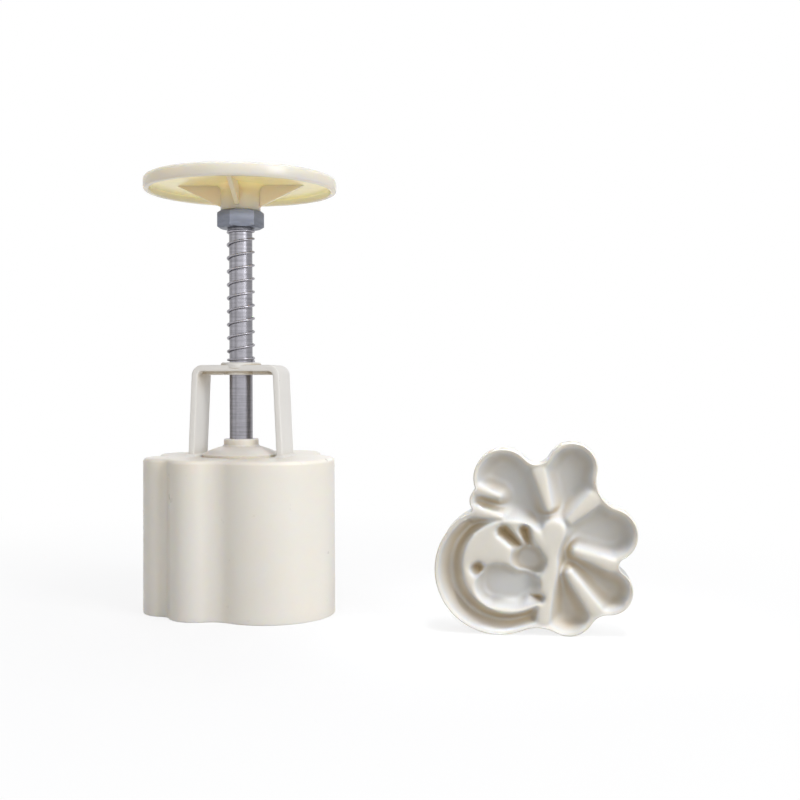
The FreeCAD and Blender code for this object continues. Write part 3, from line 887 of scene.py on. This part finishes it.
class PRESS_OT_plunger(PressPiece, bpy.types.Operator):
    """The lobed plate with its domed boss, skirt, ribs and the stamp's socket"""

    bl_idname = "press.plunger"
    bl_label = "Plunger"

    plate = 3.0
    skirt = 4.0
    skirt_wall = 1.6
    skirt_round = 0.4
    root_round = 0.5
    socket = 13.0
    socket_wall = 1.6
    socket_round = 0.3
    rib = 1.4
    rib_count = 8
    rib_short = 0.05            # how much less deep than the skirt the ribs are
    dome_radius = 13.3
    dome_foot = 3.3
    dome_rise = 2.8
    dome_steps = 12
    boss_radius = 6.0
    boss_round = 0.5
    boss_lift = 0.65            # height of the middle of the boss's foot rounding above the dome
    seat = 4.02
    seat_cut = 0.2

    def plate_form(self, form, ceiling, top):
        """The plate with its skirt, and the socket and ribs under it."""
        foot = PLUNGER_FOOT
        soft = self.skirt_round
        wall = corner(0.0, top, soft, 90, 0, 3)
        wall += corner(0.0, foot, soft, 0, -90, 3)
        wall += corner(-self.skirt_wall, foot, soft, -90, -180, 3)
        wall += corner(-self.skirt_wall, ceiling, self.root_round, 0, 90, 3)
        rings = form.shell(wall)
        form.fill(rings[0])
        form.fill(rings[-1])
        wall_out = self.socket + self.socket_wall
        profile = corner(wall_out, foot, self.socket_round, 0, -90, 3)
        profile += corner(self.socket, foot, self.socket_round, -90, -180, 3)
        profile += [(self.socket, ceiling + RUN_IN), (wall_out, ceiling + RUN_IN)]
        form.turn(profile, closed=True)
        form.ribs(self.rib_count, self.rib, wall_out - RUN_IN, lobed_outline(-self.skirt_wall),
                  foot + self.rib_short, ceiling + RUN_IN)

    def dome_form(self, form, top):
        """The dome, a cap of a ball on a short foot, and the boss on it."""
        wide = self.dome_radius
        shelf = top + self.dome_foot
        crest = shelf + self.dome_rise
        chord = wide ** 2 - self.boss_radius ** 2 + shelf ** 2 - crest ** 2
        middle = chord / (2 * (shelf - crest))
        ball = math.hypot(wide, shelf - middle)
        narrow = self.boss_radius + self.boss_round
        profile = [(wide, top - RUN_IN), (wide, shelf)]
        for i in range(1, self.dome_steps + 1):
            radius = wide + (narrow - wide) * i / self.dome_steps
            profile.append((radius, middle + math.sqrt(ball ** 2 - radius ** 2)))
        profile += rounding(narrow, crest + self.boss_lift, self.boss_round, 250, 180, 4)
        profile += corner(self.boss_radius, BOSS_TOP, self.boss_round, 0, 90)
        profile += [(self.seat + self.seat_cut, BOSS_TOP), (self.seat, BOSS_TOP - self.seat_cut),
                    (self.seat, top - RUN_IN)]
        form.turn(profile, closed=True)

    def execute(self, context):
        form = Form()
        ceiling = PLUNGER_FOOT + self.skirt
        top = ceiling + self.plate
        self.plate_form(form, ceiling, top)
        self.dome_form(form, top)
        thing = mesh_object("plunger_plate", form)
        finish_piece(thing, "plunger", "cream_plastic", self.cream_plastic(), "plunger")
        return {"FINISHED"}


class PRESS_OT_rod(PressPiece, bpy.types.Operator):
    """The turned steel rod with its shouldered spigot"""

    bl_idname = "press.rod"
    bl_label = "Rod"

    spigot = 3.0
    shoulder = 51.9
    shoulder_cut = 0.15
    chamfer = 0.6
    below_nut = 2.0             # where a ring of points ends the plain stretch

    def execute(self, context):
        radius = ROD_RADIUS
        cut = self.chamfer
        form = Form()
        form.turn([
            (0, ROD_FOOT), (self.spigot - cut, ROD_FOOT), (self.spigot, ROD_FOOT + cut),
            (self.spigot, self.shoulder), (radius - self.shoulder_cut, self.shoulder),
            (radius, self.shoulder + self.shoulder_cut), (radius, NUT_SEAT - self.below_nut),
            (radius, ROD_HEAD - cut), (radius - cut, ROD_HEAD), (0, ROD_HEAD)])
        thing = mesh_object("steel_rod", form)
        metal = make_once("Turned steel", turned_steel, self.tints.steel, 0.31, 240.0)
        finish_piece(thing, "plunger", "rod_steel", metal, "rod")
        return {"FINISHED"}


class PRESS_OT_nuts(PressPiece, bpy.types.Operator):
    """The lock nut, and the nut and washer under the plunger"""

    bl_idname = "press.nuts"
    bl_label = "Nuts and washer"

    bevels = (("handle_nut", "lock_nut", 0.22), ("plate_nut", "plunger_nut", 0.18),
              ("plate_washer", "plunger_washer", 0.15))

    def execute(self, context):
        # The nuts' edges take a painted highlight along their bevels.
        metal = make_once("Zinc plate", turned_steel, self.tints.zinc, 0.42, 60.0, wear=0.8)
        for name, node, bevel in self.bevels:
            finish_piece(softened(name, node, bevel), "plunger", "zinc_steel", metal, node)
        return {"FINISHED"}


class PRESS_OT_spring(PressPiece, bpy.types.Operator):
    """The coil spring, closed at both ends"""

    bl_idname = "press.spring"
    bl_label = "Spring"

    turns = 11.5
    closed = 1.0
    closed_pitch = 2.1          # of the wire's radius, where the coils lie close
    steps_per_turn = 40
    wire_sides = 12
    clearance = 0.06

    def tree(self):
        floats = ("Turns", "Closed turns", "Coil radius", "Wire radius", "Bottom", "Top")
        inputs = dict.fromkeys(floats, "Float") | {"Steps": "Int", "Finish": "Material"}
        tree, entry, leave = node_group("GeometryNodeTree", "Coil", inputs,
                                        {"Geometry": "Geometry"})
        turns, closed, radius = (entry[name] for name in floats[:3])
        spiral = tree.add("GeometryNodeCurveSpiral")
        tree.feed(spiral, Resolution=entry["Steps"], Rotations=turns, Height=0.0,
                  Start_Radius=radius, End_Radius=radius)
        share = tree.add("GeometryNodeSplineParameter").outputs["Factor"]
        along = tree.times(share, turns)
        pitch = tree.times(entry["Wire radius"], self.closed_pitch)
        closed_rise = tree.times(pitch, closed)
        opened = tree.minus(turns, closed)
        whole = tree.minus(entry["Top"], entry["Bottom"])
        open_rise = tree.minus(whole, tree.times(closed_rise, 2.0))
        low = tree.ramp(along, 0.0, closed, 0.0, closed_rise)
        middle = tree.ramp(along, closed, opened, 0.0, open_rise)
        high = tree.ramp(along, opened, turns, 0.0, closed_rise)
        rise = tree.plus(low, tree.plus(middle, high))
        angle = tree.times(along, 2 * math.pi)
        spot = tree.vector(tree.times(radius, tree.maths("COSINE", angle)),
                           tree.times(radius, tree.maths("SINE", angle)),
                           tree.plus(rise, entry["Bottom"]))
        moved = tree.add("GeometryNodeSetPosition")
        tree.feed(moved, Geometry=spiral.outputs[0], Position=spot)
        section = tree.add("GeometryNodeCurvePrimitiveCircle")
        tree.feed(section, Resolution=self.wire_sides, Radius=entry["Wire radius"])
        wire = tree.add("GeometryNodeCurveToMesh")
        tree.feed(wire, Curve=moved.outputs[0], Profile_Curve=section.outputs[0], Fill_Caps=True)
        return finish_tree(tree, wire.outputs[0], entry["Finish"], leave)

    def execute(self, context):
        half = self.sizes.wire / 2
        metal = make_once("Spring wire", turned_steel, self.tints.wire, 0.32, 120.0)
        values = {
            "Turns": self.turns, "Closed turns": self.closed,
            "Coil radius": (ROD_RADIUS + self.clearance + half) / METRE,
            "Wire radius": half / METRE,
            "Bottom": (SPRING_LOW + half) / METRE, "Top": (SPRING_HIGH - half) / METRE,
            "Steps": self.steps_per_turn, "Finish": metal}
        thing = grown("coil_spring", self.tree(), values, sharp=60.0)
        finish_piece(thing, "barrel", "spring_steel", metal, "spring")
        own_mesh(thing)
        return {"FINISHED"}


class PRESS_OT_handle(PressPiece, bpy.types.Operator):
    """The round palm disc with its rim, flared hub and gussets"""

    bl_idname = "press.handle"
    bl_label = "Handle"

    hub_height = 8.8
    hub_radius = 6.9
    hub_round = 0.4
    rim = 4.6
    rim_rounds = (0.7, 0.5, 0.8)    # where the rim meets the disc, and its inner and outer foot
    recess = 2.2
    lip = 2.0
    painted_glow_past = (0.3, 0.8)     # how far the painted glow on its underside goes into the lip and the disc
    crown_steps = 16
    disc_sides = 144
    gusset_foot = 1.2
    gusset_root = 0.6           # how far the gussets run into the hub
    gusset_reach = 22.0
    gusset_width = 1.5
    gussets = 4
    turned = 8.5                # degrees that the gussets are turned from the yoke's face

    def gusset_tree(self):
        floats = ("Start", "Reach", "Foot", "Roof", "Turned", "Width")
        inputs = dict.fromkeys(floats, "Float") | {"Count": "Int", "Finish": "Material"}
        tree, entry, leave = node_group("GeometryNodeTree", "Gussets", inputs,
                                        {"Geometry": "Geometry"})
        start, end, foot, roof, turned, width = (entry[name] for name in floats)
        cube = tree.add("GeometryNodeMeshCube")
        tree.feed(cube, Size=tree.vector(1.0, width, 1.0), Vertices_X=2, Vertices_Y=2,
                  Vertices_Z=2)
        place = tree.add("ShaderNodeSeparateXYZ")
        tree.link(tree.add("GeometryNodeInputPosition").outputs[0], place.inputs[0])
        out = tree.plus(place.outputs[0], 0.5)
        up = tree.plus(place.outputs[2], 0.5)
        x = tree.plus(start, tree.times(out, tree.minus(end, start)))
        slope = tree.plus(foot, tree.times(out, tree.minus(roof, foot)))
        z = tree.plus(slope, tree.times(up, tree.minus(roof, slope)))
        z = tree.plus(z, tree.times(up, RUN_IN / METRE))
        blade = tree.add("GeometryNodeSetPosition")
        tree.feed(blade, Geometry=cube.outputs[0], Position=tree.vector(x, place.outputs[1], z))
        posts = tree.add("GeometryNodePoints")
        tree.feed(posts, Count=entry["Count"])
        step = tree.maths("DIVIDE", 2 * math.pi, entry["Count"])
        number = tree.add("GeometryNodeInputIndex").outputs[0]
        turn = tree.vector(0.0, 0.0, tree.maths("MULTIPLY_ADD", number, step, turned))
        spread = tree.add("GeometryNodeInstanceOnPoints")
        tree.feed(spread, Points=posts.outputs[0], Instance=blade.outputs[0], Rotation=turn)
        return finish_tree(tree, spread.outputs[0], entry["Finish"], leave)

    def disc_profile(self, roof, inner):
        """The hub's foot, the underside, the rim and the crowned top, from axis to axis."""
        rim_foot = roof - self.recess
        meeting, inner_foot, outer_foot = self.rim_rounds
        profile = [(0, HUB_SEAT)]
        profile += corner(self.hub_radius, HUB_SEAT, self.hub_round, -90, 0, 4)
        profile += corner(self.hub_radius, roof, self.sizes.hub_flare, 180, 90, 8)
        profile += corner(inner, roof, meeting, 90, 0, 4)
        profile += corner(inner, rim_foot, inner_foot, 180, 270, 4)
        profile += corner(HANDLE_RADIUS, rim_foot, outer_foot, 270, 360)
        profile += corner(HANDLE_RADIUS, rim_foot + self.rim, self.sizes.handle_edge, 0, 84, 8)
        radius, height = profile[-1]
        for i in range(1, self.crown_steps):
            share = 1 - i / self.crown_steps
            rise = (HANDLE_TOP - height) * (1 - share ** 2)
            profile.append((radius * share, height + rise))
        return profile + [(0, HANDLE_TOP)]

    def execute(self, context):
        tints = self.tints
        roof = HUB_SEAT + self.hub_height
        inner = HANDLE_RADIUS - self.lip
        form = Form()
        form.turn(self.disc_profile(roof, inner), count=self.disc_sides)
        thing = mesh_object("palm_disc", form)
        # Painted glow under the disc, as of light soaking through it.
        aside, up = self.painted_glow_past
        under = (tints.painted_glow, inner + aside, roof + up)
        plastic = make_once("Handle plastic", moulded, tints.handle, tints.warm_cream, 0.22,
                            drift=0.2, glow=0.015, soak=1.0, grain=0.03, under=under)
        finish_piece(thing, "plunger", "handle_plastic", plastic, "handle")
        # The gussets' colour is a painted glow, as of light through the disc above.
        web = make_once("Gusset plastic", moulded, tints.web, tints.web, 0.34,
                        drift=0.0, glow=0.002, grain=0.03)
        values = {
            "Count": self.gussets, "Start": (self.hub_radius - self.gusset_root) / METRE,
            "Reach": self.gusset_reach / METRE, "Foot": (HUB_SEAT + self.gusset_foot) / METRE,
            "Roof": roof / METRE, "Turned": math.radians(self.turned),
            "Width": self.gusset_width / METRE, "Finish": web}
        blades = grown("gussets", self.gusset_tree(), values)
        finish_piece(blades, "plunger", "handle_plastic", web)
        return {"FINISHED"}


class PRESS_OT_stamp(PressPiece, bpy.types.Operator):
    """The stamp plate, standing on its edge: petals, moon and rabbit in front, ribs behind"""

    bl_idname = "press.stamp"
    bl_label = "Stamp"

    thickness = 12.0
    back = 3.5                  # depth of the hollow behind
    wall = 1.6
    wall_round = 0.35
    floor_round = 0.5
    rim = 1.3
    rib = 1.4
    rib_count = 8
    rib_short = 0.05
    collar_out = 12.7
    collar_in = 11.1
    collar_height = 3.4
    collar_round = 0.3
    collar_run_in = 0.2
    slot = 2.4
    slots = 4
    slot_turn = 22.5
    slot_steps = 24
    stand = (104.0, -12.0)      # where it stands, and the degrees it is turned there
    turn = 4.0
    grid = 0.29                 # distance between the sculpted face's points
    border_gap = 0.55           # in grid steps, between these and the face's border
    blend = 1.6                 # how softly ridges run into each other and the rim
    lip = 0.5                   # rounding of the upper edges
    steepness = 2.2
    far = 1000.0                # a distance beyond all others

    def standing(self):
        """From the stamp as it is clipped on, face down, to its place beside the press."""
        _, y, radius, _ = LOBES["moon"]
        spin = Matrix.Rotation(math.radians(180 + self.turn), 4, "Z")
        tip = Matrix.Rotation(math.radians(90), 4, "X")
        return Matrix.Translation((*self.stand, radius - y)) @ spin @ tip

    def inside(self, points, outline):
        """Which points lie inside the outline."""
        x, y = points.T
        found = np.zeros(len(points), bool)
        for (x1, y1), (x2, y2) in sides(outline):
            if y1 != y2:
                crossing = x1 + (x2 - x1) * (y - y1) / (y2 - y1)
                found ^= ((y1 > y) != (y2 > y)) & (x < crossing)
        return found

    def rim_distance(self, points):
        """How far inside the rim each point lies."""
        nearest = np.full(len(points), self.far)
        for first, last in sides(lobed_outline(0.0)):
            start = np.array(first)
            side = np.array(last) - start
            offset = points - start
            share = np.clip(offset @ side / (side @ side), 0, 1)
            nearest = np.minimum(nearest, np.hypot(*(offset - share[:, None] * side).T))
        return nearest - self.rim

    def round_distance(self, points, ends):
        """Signed distance to two rounds and their common tangents; negative inside."""
        x1, y1, r1, x2, y2, r2 = ends
        away = np.array((x2 - x1, y2 - y1))
        apart = np.linalg.norm(away)
        away = away / apart
        offset = points - (x1, y1)
        along = offset @ away
        aside = np.abs(offset @ np.array((-away[1], away[0])))
        lean = (r1 - r2) / apart
        rise = math.sqrt(1 - lean * lean)
        edge = along * rise - aside * lean
        straight = along * lean + aside * rise - r1
        near = np.hypot(along, aside) - r1
        far = np.hypot(along - apart, aside) - r2
        return np.where(edge < 0, near, np.where(edge > apart * rise, far, straight))

    def merged(self, first, second):
        """The smaller of two distances, rounded where they meet."""
        mix = np.clip(0.5 + 0.5 * (second - first) / self.blend, 0, 1)
        return second * (1 - mix) + first * mix - self.blend * mix * (1 - mix)

    def slope(self, distance, wall):
        """A hollow's side: rounded at its upper edge, steep below it, and flat at its foot."""
        eased = (distance + np.hypot(distance, self.lip)) / 2
        share = np.clip(eased / wall, 0, 1)
        return 1 - (1 - share) ** self.steepness

    def depth(self, points):
        """How deep the face is sunk at each point."""
        sizes = self.sizes
        land_x, land_y, land_radius = MOON_LAND
        clear = self.rim_distance(points)
        land = np.hypot(points[:, 0] - land_x, points[:, 1] - land_y) - land_radius
        clear = self.merged(clear, land)
        for ridge in RIDGES:
            clear = self.merged(clear, self.round_distance(points, ridge))
        sunk = sizes.relief_depth * self.slope(clear, sizes.relief_wall)
        seen = np.column_stack((land_x - points[:, 0], points[:, 1] - land_y))
        rabbit = np.full(len(points), self.far)
        for ends in RABBIT.values():
            rabbit = self.merged(rabbit, self.round_distance(seen, ends))
        return np.maximum(sunk, sizes.rabbit_depth * self.slope(-rabbit, sizes.rabbit_wall))

    def face(self, form):
        """The sculpted front, a fine net of points lowered to their depth; returns its border."""
        edge = self.sizes.stamp_edge
        outline = lobed_outline(-edge)
        spread = np.array(outline)
        low = spread.min(axis=0)
        high = spread.max(axis=0)
        columns = np.arange(low[0], high[0], self.grid)
        rows = np.arange(low[1], high[1], self.grid)
        net = np.stack(np.meshgrid(columns, rows), axis=-1).reshape(-1, 2)
        net = net[self.inside(net, lobed_outline(-edge - self.grid * self.border_gap))]
        flat = [Vector(point) for point in (*outline, *net)]
        count = len(outline)
        border = [(i, (i + 1) % count) for i in range(count)]
        keep_inside = 1
        points, _, faces, *_ = delaunay_2d_cdt(flat, border, [], keep_inside, 1e-7)
        depths = self.depth(np.array(points)) - self.thickness
        verts = form.ring([(p.x, p.y, depth) for p, depth in zip(points, depths)])
        for corners in faces:
            form.cap([verts[i] for i in corners])
        return verts[:count]

    def back_form(self, form, border):
        """The outer wall down from the face's border, and the hollow behind."""
        soft = self.wall_round
        wall = corner(0.0, -self.thickness, self.sizes.stamp_edge, 270, 360)[1:]
        wall += corner(0.0, 0.0, soft, 0, 90, 3)
        wall += corner(-self.wall, 0.0, soft, 90, 180, 3)
        wall += corner(-self.wall, -self.back, self.floor_round, 0, -90, 3)
        rings = form.shell(wall)
        form.strip(border, rings[0])
        form.fill(rings[-1])

    def collar_form(self, form, web):
        """The collar that clips into the plunger's socket: a ring, slotted above the wall."""
        top = self.collar_height
        out, inner = self.collar_out, self.collar_in
        form.turn([(out, web), (out, 0), (inner, 0), (inner, web)], closed=True)
        section = [(out, -self.collar_run_in)]
        section += corner(out, top, self.collar_round, 0, 90, 3)
        section += corner(inner, top, self.collar_round, 90, 180, 3)
        section += [(inner, -self.collar_run_in)]
        half_gap = math.asin(self.slot / 2 / out)
        each = 2 * math.pi / self.slots
        for i in range(self.slots):
            start = math.radians(self.slot_turn) + each * i + half_gap
            rows = []
            for j in range(self.slot_steps + 1):
                angle = start + (each - 2 * half_gap) * j / self.slot_steps
                x, y = math.cos(angle), math.sin(angle)
                rows.append(form.ring([(r * x, r * y, z) for r, z in section]))
            form.strips(rows)
            form.cap(rows[0])
            form.cap(rows[-1][::-1])

    def execute(self, context):
        form = Form()
        web = -self.back - self.collar_run_in
        self.back_form(form, self.face(form))
        self.collar_form(form, web)
        form.ribs(self.rib_count, self.rib, self.collar_out - RUN_IN, lobed_outline(-self.wall),
                  web, -self.rib_short)
        form.place(self.standing())
        thing = mesh_object("stamp_plate", form, sharp=65.0)
        tints = self.tints
        # Painted shade in the stamp's hollows within 12 mm, and painted cool light on their
        # floors.
        plastic = make_once("Stamp plastic", moulded, tints.stamp, tints.warm_cream, 0.36,
                            drift=0.2, glow=0.0015, soak=0.35, hollow=12.0, thin=tints.thin)
        finish_piece(thing, "stamp", "stamp_plastic", plastic, "stamp")
        return {"FINISHED"}


# Stage ---------------------------------------------------------------------


class PRESS_OT_stage(PressPiece, bpy.types.Operator):
    """Pale floor, soft lamps and the camera"""

    bl_idname = "press.stage"
    bl_label = "Stage"

    camera_place = (128.1, -369.3, 79.8)
    camera_turn = 11.0
    camera_pitch = -1.1
    lens = 50.04
    floor_half = 3000
    shadow = (0.06, 0.30, 0.80, 1.0)    # how near and how far the floor shows shadows
    white = (1.0, 1.0, 1.0, 1.0)
    bounce = (0.64, 0.60, 0.54, 1.0)    # the floor as it lights the press from below
    daylight = (0.98, 0.99, 1.03)

    # Name, place, width and height, and power of the lamps that light the whole.
    lamps = (
        ("Key", (725, -390, 480), (320, 560), 4.25),
        ("Front", (284, -765, 400), (1100, 640), 2.85),
        ("Fill", (-650, -380, 330), (420, 560), 0.5),
        ("Top", (20, 60, 900), (720, 600), 3.9),
        ("Back", (-220, 720, 380), (700, 500), 2.5),
    )
    press_middle = (50.0, 0.0, 60.0)
    stamp_middle = (106.0, -14.0, 32.0)

    def shown(self, tree):
        """1 for the rays that show a surface: seen straight, mirrored or through glass."""
        ray = tree.add("ShaderNodeLightPath").outputs
        seen = tree.maths("MAXIMUM", ray["Is Camera Ray"], ray["Is Glossy Ray"])
        return tree.maths("MAXIMUM", seen, ray["Is Transmission Ray"])

    def whitened(self, tree, share, lit, white, output):
        """Send the output the lit shader, and a share of the white one."""
        tree.feed(white, Color=self.white, Strength=1.0)
        mix = tree.add("ShaderNodeMixShader")
        surface = tree.made(mix, share, lit.outputs[0], white.outputs[0])
        tree.link(surface, tree.tree.nodes[output].inputs["Surface"])

    def floor_finish(self):
        """White where the floor is far off, and shaded by the press near it."""
        material = bpy.data.materials.new("Floor")
        material.use_nodes = True
        tree = Tree(material.node_tree)
        seen = self.shown(tree)
        lit = material.node_tree.nodes["Principled BSDF"]
        tone = tree.mix(seen, self.bounce, opaque(self.tints.floor))
        tree.feed(lit, Base_Color=tone, Roughness=0.9)
        far = tree.length(tree.add("ShaderNodeTexCoord").outputs["Object"])
        share = tree.times(seen, tree.ramp(far, *self.shadow, "SMOOTHSTEP"))
        self.whitened(tree, share, lit, tree.add("ShaderNodeEmission"), "Material Output")
        return material

    def sky(self):
        world = bpy.data.worlds.new("Sky")
        bpy.context.scene.world = world
        world.use_nodes = True
        tree = Tree(world.node_tree)
        lit = world.node_tree.nodes["Background"]
        tree.feed(lit, Color=self.white, Strength=0.05)
        white = tree.add("ShaderNodeBackground")
        self.whitened(tree, self.shown(tree), lit, white, "World Output")

    def lamp(self, name, place, size, power, target=press_middle, spread=180.0):
        data = bpy.data.lights.new(name, "AREA")
        data.shape = "RECTANGLE"
        data.size, data.size_y = (side / METRE for side in size)
        data.energy = power
        data.spread = math.radians(spread)
        data.color = self.daylight
        thing = new_object(name, data)
        spot = Vector(place) / METRE
        thing.location = spot
        aim = Vector(target) / METRE - spot
        thing.rotation_euler = aim.to_track_quat("-Z", "Y").to_euler()
        return thing

    def camera(self):
        data = bpy.data.cameras.new("Camera")
        data.lens = self.lens
        data.sensor_width = 36.0
        data.clip_start = 0.01
        thing = new_object("Camera", data)
        thing.location = Vector(self.camera_place) / METRE
        thing.rotation_euler = (math.radians(90 + self.camera_pitch), 0,
                                math.radians(self.camera_turn))
        return thing

    def execute(self, context):
        half = self.floor_half
        form = Form()
        form.cap(form.level([(-half, -half), (half, -half), (half, half), (-half, half)], 0.0))
        floor = mesh_object("floor", form)
        floor.data.materials.append(self.floor_finish())
        self.sky()
        for values in self.lamps:
            lamp = self.lamp(*values)
            # Mirrored flat along the barrel's top, the back lamp would glare.
            lamp.visible_glossy = values[0] != "Back"
        self.lamp("Plate", (160, -110, 380), (90, 90), 0.022,
                  target=self.stamp_middle, spread=20.0)
        context.scene.camera = self.camera()
        context.scene.view_settings.view_transform = "Standard"
        return {"FINISHED"}


class PRESS_PT_panel(bpy.types.Panel):
    """The press's pieces in the sidebar"""

    bl_label = "Mooncake press"
    bl_idname = "PRESS_PT_panel"
    bl_space_type = "VIEW_3D"
    bl_region_type = "UI"
    bl_category = "Press"

    def draw(self, context):
        for settings in (context.scene.press_sizes, context.scene.press_colours):
            column = self.layout.column(align=True)
            for name in settings.__annotations__:
                column.prop(settings, name)
        for operator in OPERATORS:
            self.layout.operator(operator.bl_idname)


OPERATORS = (
    PRESS_OT_barrel,
    PRESS_OT_yoke,
    PRESS_OT_plunger,
    PRESS_OT_rod,
    PRESS_OT_nuts,
    PRESS_OT_spring,
    PRESS_OT_handle,
    PRESS_OT_stamp,
    PRESS_OT_stage,
)

CLASSES = (PressSizes, PressColours, *OPERATORS, PRESS_PT_panel)


def register():
    for item in CLASSES:
        bpy.utils.register_class(item)
    bpy.types.Scene.press_sizes = bpy.props.PointerProperty(type=PressSizes)
    bpy.types.Scene.press_colours = bpy.props.PointerProperty(type=PressColours)


def unregister():
    del bpy.types.Scene.press_colours
    del bpy.types.Scene.press_sizes
    for item in reversed(CLASSES):
        bpy.utils.unregister_class(item)


def main():
    register()
    for operator in OPERATORS:
        group, name = operator.bl_idname.split(".")
        getattr(getattr(bpy.ops, group), name)()


if __name__ == "__main__":
    main()
